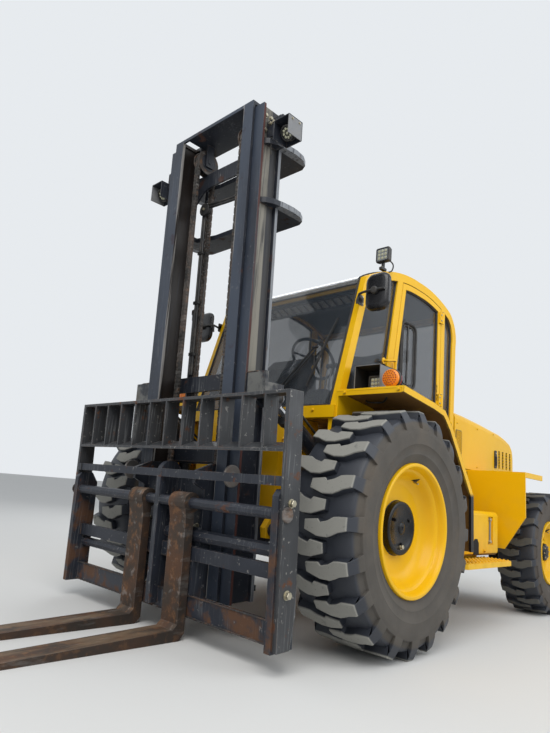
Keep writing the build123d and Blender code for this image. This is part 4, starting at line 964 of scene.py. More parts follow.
REAR_DRUM = [(-70, 20), (-70, 86), (28, 90), (44, 90), (44, 84), (50, 82), (52, 72), (82, 68), (90, 60),
             (93, 44), (93, 30), (96, 28), (96, 0)]
# Hub, rim, drum and the place of the valve notch in the bowl
WHEELS = {"front": (FRONT_HUB, FRONT_RIM, FRONT_DRUM, (112, 291)),
          "rear": (REAR_HUB, REAR_RIM, REAR_DRUM, (70, 190))}
VALVE_TURN = radians(24)


def make_wheel(axle, side):
    """One wheel: stepped bowl and disc, dark hub drum, nuts, and the valve notch as a near-black plate of painted
    shade.
    """
    hub, rim, drum, (x, r) = WHEELS[axle]
    form = Form(hub_space(hub))
    middle = hub.x / MM
    form.turned([(middle + along, reach) for along, reach in rim], (0, 0, 0), OUT, "wheel", 96, closed=True)
    form.turned([(middle + along, reach) for along, reach in drum], (0, 0, 0), OUT, "hub", 64)
    if axle == "front":
        form.bolt_ring(3, 84, (middle + 101, 0, 0), OUT, 17, "hub", 0.5)
        form.bolt((middle + 101, 0, -98), OUT, 24)
    else:
        form.bolt_ring(8, 122, (middle + 44, 0, 0), OUT, 25, "wheel", 0.2)
        form.bolt_ring(8, 52, (middle + 91, 0, 0), OUT, 11, "zinc", 0.1)
    outward = Vector((0, sin(VALVE_TURN), cos(VALVE_TURN)))
    sideways = Vector((0, cos(VALVE_TURN), -sin(VALVE_TURN)))
    # Near-black plate in the bowl: painted shade of the valve notch's hole
    notch_shade = ((26, 0), (-16, 20), (-6, 0), (-16, -20))
    form.loft([[Vector((middle + x + a, 0, 0)) + outward * (r + a * 0.5 + lift) + sideways * b
                for a, b in notch_shade] for lift in (3, -2.5)], "rubber")
    stem_foot = Vector((middle + x - 12, 0, 0)) + outward * (r - 8)
    stem_tip = Vector((middle + x + 22, 0, 0)) + outward * (r - 22)
    form.rod(stem_foot, stem_tip, 5, "zinc", 8)
    form.build(f"{axle}_wheel_{side}_dressed", f"{side}_{axle}_wheel", 0,
               (f"{axle}_wheel_{side}",), flip=side == "right")


def make_wheels():
    """The four wheels."""
    for axle in WHEELS:
        for side in SIDES:
            make_wheel(axle, side)


# Axles

KING_PIN_X = round(JOINTS["left_steer"]["pos_m"][0] / MM)


def make_drive_axle_fittings():
    """Cover, saddle bolts and brake lines of the drive axle."""
    form = Form()
    cover = [(0, 0), (0, 158), (42, 158), (50, 152), (78, 100), (86, 60), (88, 0)]
    form.turned(cover, (0, -118, FRONT_RADIUS), AHEAD, "axle", 40)
    form.bolt_ring(12, 146, (0, -163, FRONT_RADIUS), AHEAD, 18)
    form.bolt((0, -204, FRONT_RADIUS), AHEAD, 30)
    for x in (310, 410):
        for y in (-96, 96):
            for sign in SIDES.values():
                form.rod((x * sign, y, 486), (x * sign, y, 812), 11, "zinc", 10)
                form.bolt((x * sign, y, 795.5), UP, 30)
                form.bolt((x * sign, y, 494.5), DOWN, 30)
    for sign in SIDES.values():
        brake_line = ((40, -100, 842), (90, -88, 770), (180, -60, 733), (560, -60, 733), (640, -84, 744))
        form.tube([(x * sign, y, z) for x, y, z in brake_line], 5, "zinc", 8, 6)
        form.bolt_ring(10, 140, (656 * sign, 0, FRONT_RADIUS), (sign, 0, 0), 16, "axle")
    form.build("front_axle_fittings", "chassis", 0.8)


def make_knuckle_caps():
    """Caps, bolts and a hose of each steering knuckle."""
    cap = [(0, 0), (0, 46), (10, 46), (16, 40), (18, 12), (30, 10), (34, 5), (34, 0)]
    for side in SIDES:
        form = Form()
        for up in (1, -1):
            form.turned(cap, (KING_PIN_X, WHEELBASE, REAR_RADIUS + 116.4 * up), (0, 0, up), "axle", 24)
        for y in (WHEELBASE - 34, WHEELBASE + 34):
            for up in (1, -1):
                form.bolt((742, y, REAR_RADIUS + 114.3 * up), (0, 0, up), 22)
        hose = [(742, WHEELBASE - 62, 560), (760, WHEELBASE - 84, 530), (752, WHEELBASE - 96, 470)]
        form.tube(hose, 6, "hose", 8, 6)
        form.build(f"steer_knuckle_{side}_caps", f"{side}_knuckle", 0.8, flip=side == "right")


def make_steering_cylinder():
    """The double-ended steering cylinder, with bellows, clamps and hoses."""
    form = Form()
    y, z = WHEELBASE + 118, 470
    form.turned([(0, 60), (6, 66), (330, 66), (336, 60)], (-168, y, z), OUT, "axle", 28)
    bellows = [(0, 66), (0, 72), (26, 72), (30, 60), (44, 46), (56, 52), (68, 44), (80, 50), (92, 42),
               (104, 46), (112, 30), (112, 0)]
    for sign in SIDES.values():
        form.turned(bellows, (168 * sign, y, z), (sign, 0, 0), "rubber", 24)
        form.box((120 * sign - 14, 120 * sign + 14), (y - 58, y + 4), (440, 500), "axle")
        form.tube([(90 * sign, y, 530), (90 * sign, y - 8, 600), (60 * sign, y - 58, 650),
                   (50 * sign, y - 158, 680)], 9, "hose", 10, 8)
        form.bolt((52 * sign, WHEELBASE - 90.5, 590), AHEAD, 26)
    form.build("steering_cylinder", "chassis", 1.0)


# Mast and carriage

CHAIN_U = 225
CHAIN_PITCH = 25.4
SHEAVE_V = 150
SHEAVE_W = 2985
CHAIN_TURN = 70
CHAIN_FRONT = SHEAVE_V - CHAIN_TURN
CHAIN_BACK = SHEAVE_V + CHAIN_TURN
CHAIN_BEND = [radians(turn) for turn in range(12, 180, 12)]
CHAIN_PATH = [(CHAIN_FRONT, 480), (CHAIN_FRONT, SHEAVE_W)]
CHAIN_PATH += [(SHEAVE_V - CHAIN_TURN * cos(turn), SHEAVE_W + CHAIN_TURN * sin(turn))
               for turn in CHAIN_BEND]
CHAIN_PATH += [(CHAIN_BACK, SHEAVE_W), (CHAIN_BACK, 1060)]
LIFT_U = 292
LIFT_V = 247
TILT_EYE_V = 140
TILT_EYE_W = 1272


def even_points(path, pitch):
    """Points at an even distance along a line of (a, b) points."""
    points = [Vector(path[0])]
    left = pitch
    for start, end in zip(path, path[1:]):
        start, end = Vector(start), Vector(end)
        run = (end - start).length
        done = left
        while done <= run:
            points.append(start.lerp(end, done / run))
            done += pitch
        left = done - run
    return points


def make_lift_chains():
    """The two leaf chains: laced plates, pins and the anchors at their ends."""
    form = Form(MAST)
    points = even_points(CHAIN_PATH, CHAIN_PITCH)
    for index, (start, end) in enumerate(zip(points, points[1:])):
        run = (end - start).normalized()
        over = Vector((-run.y, run.x))
        outline = [place + run * along + over * across for place, along, across in (
            (start, -10, -6), (start, -6, -10), (end, 6, -10), (end, 10, -6),
            (end, 10, 6), (end, 6, 10), (start, -6, 10), (start, -10, 6))]
        shift = 4 if index % 2 else 0
        for u in (-18, -10, -2, 6, 14):
            plate = CHAIN_U + u + shift
            form.prism(outline, plate - 2, plate + 1.4, "x", "chain")
    for point in points:
        form.turned([(0, 3), (1, 5), (43, 5), (44, 3)], (CHAIN_U - 22, point.x, point.y), OUT, "shaft", 8)
    for v, low, high in ((CHAIN_FRONT, 430, 482), (CHAIN_BACK, 1000, 1062)):
        form.prism(rounded_rect(CHAIN_U - 22, CHAIN_U + 22, low, high, 8), v - 9, v + 9, "y", "axle")
        form.bolt((CHAIN_U + 22, v, high - 8), OUT, 14)
    form.mirror()
    form.build("lift_leaf_chains", "mast_inner", 0, ("lift_chains",))


def make_mast_lamps():
    """Work lamps on the mast: an open shroud on a bracket with a round lamp that looks down and ahead."""
    form = Form(MAST)
    form.prism(rounded_rect(440.3, 575, 2885, 3000, 8), 84, 94, "y", "mast")
    for u in (470, 500):
        form.bolt((u, 84, 2975), AHEAD, 20)
    # u, v and w limits, finish
    walls = [((562, 567), (20, 140), (2798, 2920), "mast"), ((679, 684), (20, 140), (2798, 2920), "grey"),
             ((562, 684), (20, 140), (2915, 2920), "mast"), ((562, 684), (135, 140), (2798, 2920), "mast"),
             ((606, 640), (104, 138), (2868, 2918), "axle")]
    for u, v, w, finish in walls:
        form.box(u, v, w, finish)
    for v in (50, 112):
        form.bolt((683.5, v, 2900), OUT, 12)
    aim = Vector((0, -0.82, -0.57)).normalized()
    turn = aim.to_track_quat("Z", "Y")
    place = Vector((622, 88, 2852))
    housing = [(-30, 20), (-28, 34), (-6, 46), (16, 47), (20, 44), (20, 39), (13, 38), (13, 0)]
    form.turned(housing, place, aim, "plastic", 36)
    for ring in range(5):
        along, reach = ring * 4 - 26, 37 + ring * 2
        form.turned([(along, reach), (along + 1, reach + 5), (along + 2, reach)], place, aim, "plastic", 24)
    for index in range(9):
        radius = 0 if index == 8 else 25
        spot = place + turn @ Vector((radius * cos(index * pi / 4), radius * sin(index * pi / 4), 13))
        form.turned([(0, 8.5), (3, 8), (5, 5), (6, 0)], spot, aim, "led", 12)
    form.tube([(622, 112, 2862), (600, 122, 2886), (575, 126, 2900), (540, 104, 2890), (500, 98, 2900),
               (470, 98, 2860), (462, 110, 2780)], 4.5, "hose", 8, 6)
    form.mirror()
    form.build("mast_work_lamps", "mast_outer", 0.6, ("mast_lamps",))


def make_outer_mast_fittings():
    """Pad bolts, glands, pipes, pins and weld beads of the outer mast."""
    form = Form(MAST)
    for v in (66, 110, 154):
        form.bolt((440, v, 3035), OUT, 22)
        form.bolt((440, v, 2935), OUT, 22)
    gland = [(0, 37), (0, 44), (26, 44), (30, 40), (34, 30), (36, 22.5)]
    form.turned(gland, (LIFT_U, LIFT_V, 1912), UP, "axle", 24)
    form.tube([(LIFT_U, 288, 262), (330, 292, 262), (344, 288, 300), (346, 282, 1820), (338, 280, 1862),
               (310, 274, 1880)], 7, "axle", 10, 5)
    for w in (520, 900, 1400, 1750):
        form.prism(rounded_rect(286, 356, 282, 302, 6), w - 12, w + 12, "z", "plastic")
        form.bolt((320, 302, w), BACK, 14)
    form.turned([(0, 26), (8, 26), (12, 20), (12, 0)], (624, TILT_EYE_V, TILT_EYE_W), OUT, "axle", 20)
    form.bolt((605, TILT_EYE_V + 28, TILT_EYE_W + 30), OUT, 14)
    form.turned([(0, 38), (12, 38), (16, 30), (16, 0)], (489, 290, 560), OUT, "axle", 24)
    for w in (2455, 2489, 2845, 2879):
        form.tube([(442, 62, w), (444, 90, w), (444, 140, w), (444, 196, w)], 4.5, "weld", 6, 10, 0.16)
    for w in (1262, 1412):
        form.bead((466, 36, w), (556, 36, w))
    form.bead((464, 30, 1262), (464, 30, 1412))
    form.bead((366, 176, 900), (366, 176, 1040))
    form.mirror()
    for w in (912, 1028):
        form.bead((-360, 174, w), (360, 174, w))
    form.build("outer_mast_fittings", "mast_outer", 0)


def make_inner_mast_fittings():
    """Sheave rims, rod nuts and rollers of the inner mast, and the hoses that run over it."""
    form = Form(MAST)
    for u in (197, 247):
        rim = [(0, 60), (0, 88), (3, 90), (6, 88), (6, 60)]
        form.turned(rim, (u, SHEAVE_V, SHEAVE_W), OUT, "shaft", 48)
    form.bolt((273, SHEAVE_V, SHEAVE_W), OUT, 28)
    form.turned([(0, 22.2), (0, 34), (20, 34), (20, 22.2)], (LIFT_U, LIFT_V, 3086), UP, "zinc", 6)
    form.bolt((LIFT_U, LIFT_V, 3129.5), UP, 34)
    form.turned([(0, 0), (0, 56), (6, 60), (10, 56), (10, 0)], (391, 110, 300), OUT, "roller", 40)
    form.bead((358, 164, 1356), (358, 164, 1444))
    form.mirror()
    for gap in (0, 20):
        near, far = gap - 262, 300 - gap / 2
        form.tube([(near, 196, 1480), (near, 198, 2000), (near, 196, 2560), (near + 6, 196, 2650 - gap),
                   (-222, 192, 2690 - gap), (-150, 190, 2680 - gap), (60, 188, 2664 - gap),
                   (240, 188, 2668 - gap), (296, 188, 2640 - gap), (far, 190, 2500), (far, 190, 1900)],
                  9, "hose", 10, 8)
    pulley = [(-12, 20), (-12, 45), (-9, 47), (-6, 42), (6, 42), (9, 47), (12, 45), (12, 20)]
    form.turned(pulley, (-235, 185, 2655), BACK, "plastic", 32)
    form.bolt((-235, 172, 2655), AHEAD, 18)
    for w in (1620, 1980, 2340):
        form.prism(rounded_rect(-280, -224, 184, 212, 5), w - 10, w + 10, "z", "plastic")
    curl = [(11 * cos(turn * 0.7) - 200, 11 * sin(turn * 0.7) + 200, 2120 + turn * 2.6)
            for turn in range(190)]
    cord = [(-202, 196, 1500), (-196, 200, 1900), *curl, (-180, 192, 2640), (-120, 184, 2740)]
    form.tube(cord, 3.2, "hose", 6)
    form.build("inner_mast_hoses", "mast_inner", 0)


def make_carriage_fittings():
    """Bolts, rollers, shaft caps and weld beads of the carriage."""
    form = Form(MAST)
    for w in (740, 346):
        form.bolt((965, -104, w), OUT, 34)
        form.bolt((-965, -104, w), (-1, 0, 0), 34)
    cap = [(0, 0), (0, 36), (6, 36), (9, 32), (9, 0)]
    roller = [(0, 10), (0, 55), (4, 59), (11, 59), (15, 55), (15, 24), (19, 22), (19, 0)]
    for sign in SIDES.values():
        form.turned(cap, (965 * sign, -128, 690), (sign, 0, 0), "shaft", 28)
        form.turned(roller, (467 * sign, -30, 842), (sign, 0, 0), "roller", 40)
        # u, v and w of both ends of each upright or short bead
        for u, v, w, end_v, end_w in ((298, -102, 818, -102, 858), (902, -154, 816, -154, 860),
                                      (902, -102, 395, -102, 463), (21, -20, 145, -20, 840)):
            form.bead((u * sign, v, w), (u * sign, end_v, end_w))
        form.bead((21 * sign, -102, 392), (290 * sign, -102, 392))
        for w in (118, 220):
            form.bead((21 * sign, -101, w), (890 * sign, -101, w))
        form.bead((941 * sign, -66, 1244), (941 * sign, -140, 1244))
        for w in (420, 700):
            form.bolt((298 * sign, 20, w), (sign, 0, 0), 26)
        form.bolt((225 * sign, -30, 560), AHEAD, 30)
    form.tube([(225, -40, 480), (180, -46, 430), (60, -46, 410), (-60, -46, 430), (-200, -40, 520)], 8,
              "hose", 8, 8)
    form.build("carriage_fittings", "carriage", 0)


TILT_REAR = Vector((560, 100, 845))
TILT_EYE = Vector((560, MAST_FOOT_Y + TILT_EYE_V * cos(MAST_LEAN) - TILT_EYE_W * sin(MAST_LEAN),
                   TILT_EYE_V * sin(MAST_LEAN) + TILT_EYE_W * cos(MAST_LEAN)))


def make_tilt_fittings():
    """Glands, ports and hoses of the tilt cylinders, and the sleeves in their rods' eyes."""
    run = (TILT_EYE - TILT_REAR).normalized()
    up = run.cross(Vector(OUT))
    up = up if up.z > 0 else -up
    form = Form()
    gland = [(0, 50), (0, 57), (34, 57), (38, 52), (44, 40), (46, 26)]
    form.turned(gland, TILT_REAR + run * 656, run, "axle", 28)
    form.turned([(0, 30), (0, 54), (8, 54), (8, 50)], TILT_REAR + run * 56, run, "axle", 28)
    for end, side in ((640, 16), (110, -16)):
        port = TILT_REAR + run * end + Vector((side, 0, 0))
        form.turned([(0, 0), (0, 14), (22, 14), (22, 0)], port + up * 46, up, "zinc", 6)
        hose = [port + up * 60, port + up * 82, port + up * 84 - run * 30,
                TILT_REAR + run * 70 + up * 80, TILT_REAR - run * 10 + up * 92 + Vector((-60, 0, 0)),
                TILT_REAR + Vector((-120, 60, 110))]
        form.tube(hose, 8, "hose", 8, 8)
    form.mirror()
    form.build("tilt_cylinder_glands", "tilt_barrel_pair", 0)
    form = Form()
    eye = [(-29, 26.5), (-29, 41), (-26, 43), (26, 43), (29, 41), (29, 26.5)]
    form.turned(eye, TILT_EYE, OUT, "axle", 28, closed=True)
    form.bolt(TILT_EYE - run * 41, -run, 9)
    form.mirror()
    form.build("tilt_rod_eyes", "tilt_rod_pair", 0)


# Cab

A_FOOT = (-185, 1312)
A_TOP = (54, 2215)
ROOF_CROWN = (765, 2410)
ROOF_LINE = arc(A_TOP, (380, 2362), ROOF_CROWN, 16) + arc(ROOF_CROWN, (1030, 2388), (1264, 2316), 10)
CAB_SIDE = 679
PANE_SIDE = 640
WIPER_PIVOT = Vector((188, -184, 1432))
WIPER_END = Vector((414, -109, 1716))


def pane_edges(name, level):
    """Outlines of the outer faces of a node's side panes, in millimetres."""
    node = frame["nodes"][name]
    shell = bmesh.new()
    shell.from_mesh(node.data)
    shell.transform(MACHINE.inverted() @ node.matrix_world)
    bmesh.ops.remove_doubles(shell, verts=shell.verts, dist=0.05)
    outer = {face for face in shell.faces if face.normal.x * face.calc_center_median().x > 0.9 * level
             and abs(face.calc_center_median().x) > level}
    links = {}
    for edge in shell.edges:
        if sum(face in outer for face in edge.link_faces) == 1:
            first, second = edge.verts
            links.setdefault(first, []).append(second)
            links.setdefault(second, []).append(first)
    loops = []
    while links:
        corner = next(iter(links))
        loop = []
        while corner in links:
            loop.append(corner.co.copy())
            options = links.pop(corner)
            corner = next((other for other in options if other in links), None)
        if len(loop) > 2:
            loops.append(loop)
    shell.free()
    return loops


def even_loop(loop, spacing):
    """The loop with more corners on its long edges."""
    points = []
    for index, start in enumerate(loop):
        end = loop[(index + 1) % len(loop)]
        count = max(int((end - start).length / spacing), 1)
        points.extend(start.lerp(end, step / count) for step in range(count))
    return points


def make_window_seals():
    """Rubber round the fixed windows."""
    form = Form()
    for loop in pane_edges("cab_glass", PANE_SIDE):
        out = Vector((1.5 if loop[0].x > 0 else -1.5, 0, 0))
        form.tube([point + out for point in even_loop(loop, 60)], 9, "rubber", 8, closed=True)
    screen = [A_FOOT, A_TOP] + [point for point in ROOF_LINE[1:] if point[0] < 471]
    for x in (629, -629):
        form.tube([(x, y - 1, z + 1) for y, z in screen], 8, "rubber", 8)
    # Half length, y, z and radius of the seals that run across the cab
    for x, y, z, radius in ((625, A_FOOT[0] - 2, A_FOOT[1] + 4, 9), (628, 470, 2380, 6),
                            (628, 1359.12, 1618, 7), (628, 1338, 2264, 7)):
        form.tube([(-x, y, z), (x, y, z)], radius, "rubber", 8)
    form.build("cab_window_seals", "chassis", 0)


def make_door_fittings():
    """Rubber, sliding window, lock and hinges of the door."""
    form = Form()
    for loop in pane_edges("door_glass", PANE_SIDE):
        rim = [point + Vector((2, 0, 0)) for point in even_loop(loop, 60)]
        form.tube(rim, 10, "rubber", 8, closed=True)
    seal = [(666, y, z) for y, z in rounded_rect(541, 743, 1578, 2052, 52, 6)]
    form.tube(seal, 12, "rubber", 8, closed=True)
    slider = [(667, y, z) for y, z in rounded_rect(566, 718, 1600, 2030, 36, 6)]
    form.tube(slider, 5, "plastic", 6, closed=True)
    form.box((662, 670), (626, 640), (1580, 2050), "plastic")
    # Window catch, lock plate and lock as y limits, z limits, corner and x limits
    for outline, low, high in (((612, 630, 1760, 1850, 6), 668, 680),
                               ((425, 470, 1500, 1640, 12), 676, 688),
                               ((432, 458, 1520, 1600, 10), 686, 698)):
        form.prism(rounded_rect(*outline), low, high, "x", "plastic")
    form.turned([(0, 9), (5, 9), (7, 7), (7, 0)], (687, 446, 1618), OUT, "zinc", 16)
    for z in (1520, 2180):
        for rise in (22, 68):
            form.bolt((693, 1090, z + rise), OUT, 13)
        form.turned([(0, 7), (3, 11), (6, 7), (6, 0)], (694, 1112, z + 90), UP, "zinc", 12)
    form.build("door_fittings", "door", 0.5)


def make_wiper():
    """Windshield wiper with two arms, a swivel and a blade."""
    form = Form()
    normal = Vector((0, -0.967, 0.256))
    lift = normal * 8
    hinge = [(0, 26), (6, 27), (16, 20), (18, 0)]
    form.turned(hinge, WIPER_PIVOT - normal * 18, normal, "rubber", 24)
    for offset in (Vector((0, 0, 0)), Vector((20.8, 0, -13))):
        arm = (WIPER_PIVOT, WIPER_PIVOT.lerp(WIPER_END, 0.35), WIPER_END)
        form.tube([point + offset for point in arm], 5.5, "rubber", 8)
    form.rod(WIPER_END - Vector((14, 0, 0)), WIPER_END + Vector((34, 0, 0)), 9, "rubber")
    top, low = Vector((547, -56, 1917)) - lift, Vector((424, -179, 1451)) - lift
    middle = (top + low) / 2
    form.tube([top, middle + lift, low], 5, "rubber", 8, 6)
    for bend in (0.25, 0.75):
        form.rod(WIPER_END, low.lerp(top, bend), 4, "rubber", 8)
    form.tube([point - normal * 6 for point in (top, middle, low)], 3.5, "rubber", 6, 6)
    form.build("windshield_wiper", "chassis", 0)


def make_grab_handle():
    """Bent yellow handle ahead of the door, with two round feet."""
    form = Form()
    path = [(CAB_SIDE, 307, 1697), (694, 307, 1697), (703, 314, 1698), (705, 340, 1704), (705, 396, 1717),
            (705, 412, 1716), (705, 418, 1700), (705, 418, 1560), (705, 418, 1480), (702, 416, 1456),
            (694, 410, 1448), (CAB_SIDE, 404, 1446)]
    form.tube(path, 9, "body", 12, 5)
    for y, z in ((307, 1697), (404, 1446)):
        form.turned([(0, 22), (5, 22), (6, 20), (6, 0)], (CAB_SIDE + 0.5, y, z), OUT, "body", 20)
    form.build("cab_grab_handle", "chassis", 0)


def make_headliner():
    """Slatted visor behind the windshield's top with a pale sheet over it as painted light through its gaps, and
    the headlining under the roof.
    """
    form = Form()
    visor = ((62, 2118), (156, 2082))
    for y, z in visor:
        form.box((-604, 604), (y - 6, y + 6), (z - 8, z + 8), "lining_and_shade")
    for x in range(-585, 586, 65):
        form.loft([[(x - 6, y, z - 5), (x + 6, y, z - 5), (x + 6, y, z + 5), (x - 6, y, z + 5)]
                   for y, z in visor], "lining_and_shade")
    # Pale sheet over the slats: painted light from above through the gaps
    sheet = ((-600, 6), (600, 6), (600, 9), (-600, 9))
    form.loft([[(x, y, z + rise) for x, rise in sheet] for y, z in visor], "roof_light")
    section = ((-600, 0), (-560, -6), (0, -9), (560, -6), (600, 0), (600, 4), (0, -3), (-600, 4))
    roof = [(y, z - 46) for y, z in ROOF_LINE if 476 < y < 1250]
    form.loft([[(x, y, z + rise) for x, rise in section] for y, z in roof], "lining_and_shade")
    form.build("cab_headliner", "chassis", 0.4)


def make_cab_bolts():
    """Round heads on the cab's sides, front and roof."""
    form = Form()
    for y, z in ((-165, 1352), (-165, 1290), (1300, 1180), (1300, 1420), (430, 1290), (800, 1290),
                 (1150, 1290)):
        form.bolt((CAB_SIDE + 0.5, y, z), OUT, 20, "body")
    form.mirror()
    for x in (-520, -180, 180, 520):
        form.bolt((x, -205, 1285), AHEAD, 18, "body")
    for x in (-300, -150, 0, 150, 300):
        form.bolt((x, -205.5, 1110), AHEAD, 18, "body")
    for x in (-240, 240):
        for y, z in ((620, 2398), (1100, 2367)):
            form.bolt((x, y, z), UP, 18, "body")
    form.build("cab_bolts", "chassis", 0)


def make_dash():
    """Console, steering wheel, dials, levers and pedals."""
    form = Form()
    side = [(60, 1250), (260, 1250), (240, 1600), (120, 1720), (40, 1640)]
    form.loft([[(x, 148 + (y - 148) * (1 - inset / 120), 1480 + (z - 1480) * (1 - inset / 240))
                for y, z in side] for x, inset in ((-170, 14), (-160, 0), (160, 0), (170, 14))], "plastic")
    out = Vector((0, 0.707, 0.707))
    for x, radius in ((-105, 26), (-40, 34), (40, 34), (105, 26)):
        place = Vector((x, 186, 1652))
        bezel = [(-6, radius), (8, radius), (10, radius - 3), (6, radius - 6), (6, 0)]
        form.turned(bezel, place, out, "plastic", 28)
        form.turned([(5, radius - 7), (7, radius - 8), (7, 0)], place, out, "dial", 28)
        form.rod(place + out * 8, place + out * 8 + Vector((radius * 0.5, -6, 6)), 1.2, "red", 6)
    column = [(0, 40), (60, 34), (230, 28), (252, 30), (256, 44), (268, 44), (272, 30), (272, 0)]
    form.turned(column, (0, 196, 1596), (0, 0.6873, 0.7264), "plastic", 28)
    centre = Vector((0, 380, 1790))
    sideways, upward = Vector(OUT), Vector((0, -0.707, 0.707))
    turns = [2 * pi * index / 48 for index in range(48)]
    form.tube([centre + 180 * (cos(turn) * sideways + sin(turn) * upward) for turn in turns], 12, "plastic",
              12, closed=True)
    for turn in (0.5, 2.64, 4.71):
        form.rod(centre, centre + 176 * (cos(turn) * sideways + sin(turn) * upward), 9, "plastic")
    knob = [(0, 6), (4, 15), (18, 18), (32, 14), (38, 0)]
    for x in (200, 235, 270):
        form.tube([(x, 300, 1500), (x, 302, 1600), (x, 320, 1690)], 6, "chrome", 8, 5)
        form.turned(knob, (x, 318, 1686), (0, 0.2, 1), "plastic", 20)
    form.prism(rounded_rect(176, 294, 180, 420, 16), 1250, 1504, "z", "plastic")
    for x in (-120, 130):
        form.tube([(x, 60, 1290), (x, 20, 1340), (x, -20, 1370)], 8, "plastic", 8, 4)
        form.prism(rounded_rect(x - 36, x + 36, 1320, 1420, 8), -34, -22, "y", "rubber")
    form.build("dash_and_controls", "chassis", 0.8, ("dash_and_wheel",))


# Seat

# Outline of each cushion's wide faces and the levels of its two faces
CUSHIONS = {
    "seat_cushion": [[(-228, 632), (228, 632), (228, 1066), (-228, 1066)], (1446, 1534)],
    "back_cushion": [[(-216, 1568), (216, 1568), (196, 2030), (-196, 2030)], (-34, 34)],
}
BACK_PLACE = Matrix.Translation((0, 1055, 1560))
BACK_LEAN = BACK_PLACE @ Matrix.Rotation(radians(-11), 4, "X") @ Matrix.Translation((0, 0, -1560))
GRAIN = 0.007


def swell_cushion(piece, seat):
    """Fills a cushion with air under cloth, so that its faces crown and its sides pull in."""
    remesh = piece.modifiers.new("grain", "REMESH")
    remesh.mode = "VOXEL"
    remesh.voxel_size = GRAIN
    bpy.context.view_layer.objects.active = piece
    bpy.ops.object.modifier_apply(modifier=remesh.name)
    rest = [vertex.co.copy() for vertex in piece.data.vertices]
    cloth = piece.modifiers.new("foam", "CLOTH")
    cloth.settings.use_pressure = True
    cloth.settings.uniform_pressure_force = seat.pressure
    cloth.settings.effector_weights.gravity = 0
    cloth.settings.quality = 4
    cloth.point_cache.frame_start = 1
    cloth.point_cache.frame_end = seat.frames
    for number in range(1, seat.frames + 1):
        bpy.context.scene.frame_set(number)
    bpy.ops.object.modifier_apply(modifier=cloth.name)
    bpy.context.scene.frame_set(1)
    for vertex, start in zip(piece.data.vertices, rest):
        move = vertex.co - start
        if move.length > seat.swell:
            vertex.co = start + move.normalized() * seat.swell
    smooth = piece.modifiers.new("smooth", "SUBSURF")
    smooth.levels = 1
    smooth.render_levels = 1
    bpy.ops.object.modifier_apply(modifier=smooth.name)
    piece.data.shade_smooth()


def make_cushion(name, seat):
    """One cushion in its own place, narrowed at both faces and along its sides."""
    outline, (low, high) = CUSHIONS[name]
    upright = name == "back_cushion"
    form = Form(MACHINE @ BACK_LEAN if upright else MACHINE)
    middle_a = sum(a for a, b in outline) / 4
    middle_b = sum(b for a, b in outline) / 4
    rings = []
    for level, share in ((low, 0.9), (low + 14, 0.98), ((low + high) / 2, 1.0), (high - 14, 0.98),
                         (high, 0.9)):
        ring = []
        for (a, b), (end_a, end_b) in zip(outline, outline[1:] + outline[:1]):
            for step in range(8):
                t = step / 8
                pull = share - 0.012 * sin(pi * t)
                across = middle_a + (a + (end_a - a) * t - middle_a) * pull
                along = middle_b + (b + (end_b - b) * t - middle_b) * pull
                ring.append((across, level, along) if upright else (across, along, level))
        rings.append(ring)
    form.loft(rings, "vinyl")
    piece = form.build(name, "chassis")
    swell_cushion(piece, seat)


def make_seat(seat):
    """The operator's seat: base with bellows, posts, side rails and belt, two cushions and their seams."""
    base = Form()
    base.prism(rounded_rect(-180, 180, 680, 1020, 30), 1250, 1290, "z", "iron")
    folds = [(1290, 166)]
    for index in range(5):
        folds += [(1298 + index * 22, 178), (1309 + index * 22, 164)]
    foot = rounded_rect(-180, 180, 680, 1020, 40)
    base.loft([[(x * reach / 180, 850 + (y - 850) * reach / 180, z) for x, y in foot]
               for z, reach in folds], "rubber")
    base.prism(rounded_rect(-215, 215, 640, 1050, 30), 1398, 1444, "z", "plastic")
    for x in (-150, 150):
        post = [(x, 1070, 1440), (x, 1120, 1500), (x, 1160, 1640), (x, 1200, 1800)]
        base.tube(post, 14, "iron", 10, 5)
    for x in (236, -236):
        base.tube([(x, 700, 1452), (x, 1040, 1452), (x * 0.95, 1066, 1500)], 5, "rubber", 8, 6)
        base.prism(rounded_rect(1000, 1060, 1430, 1500, 14), x - 6, x + 6, "x", "plastic")
    belt = [(-150, 1046, 1548), (-60, 1010, 1566), (60, 1000, 1566), (150, 1046, 1548)]
    base.tube(belt, 9, "rubber", 6, 6)
    base.build("seat_base", "chassis", 0.8, ("operator_seat",))
    for name in CUSHIONS:
        make_cushion(name, seat)
    seams = Form()
    for x in (-90, 90):
        seams.tube([(x, 650, 1545), (x, 850, 1556), (x, 1040, 1545)], 3.5, "rubber", 6, 6)
    seams.build("seat_seams", "chassis", 0)


# Lamps and mirrors

SHROUD_FLOOR = 1394.0
HEAD_LAMP_X = 835


def square_lamp(form, x, z, housing, corner, lens, diodes):
    """Square lamp that looks ahead.

    The housing is given as (y, half width), the lens as (half width, front, back) and the nine diodes
    as (spacing, y, profile).
    """
    form.loft([[(x + a, y, z + b) for a, b in rounded_rect(-half, half, -half, half, half * corner, 4)]
               for y, half in housing], "plastic")
    half, front, back = lens
    form.prism(rounded_rect(x - half, x + half, z - half, z + half, 8), front, back, "y", "lens")
    spacing, level, profile = diodes
    for a in (-spacing, 0, spacing):
        for b in (-spacing, 0, spacing):
            form.turned(profile, (x + a, level, z + b), AHEAD, "led", 12)


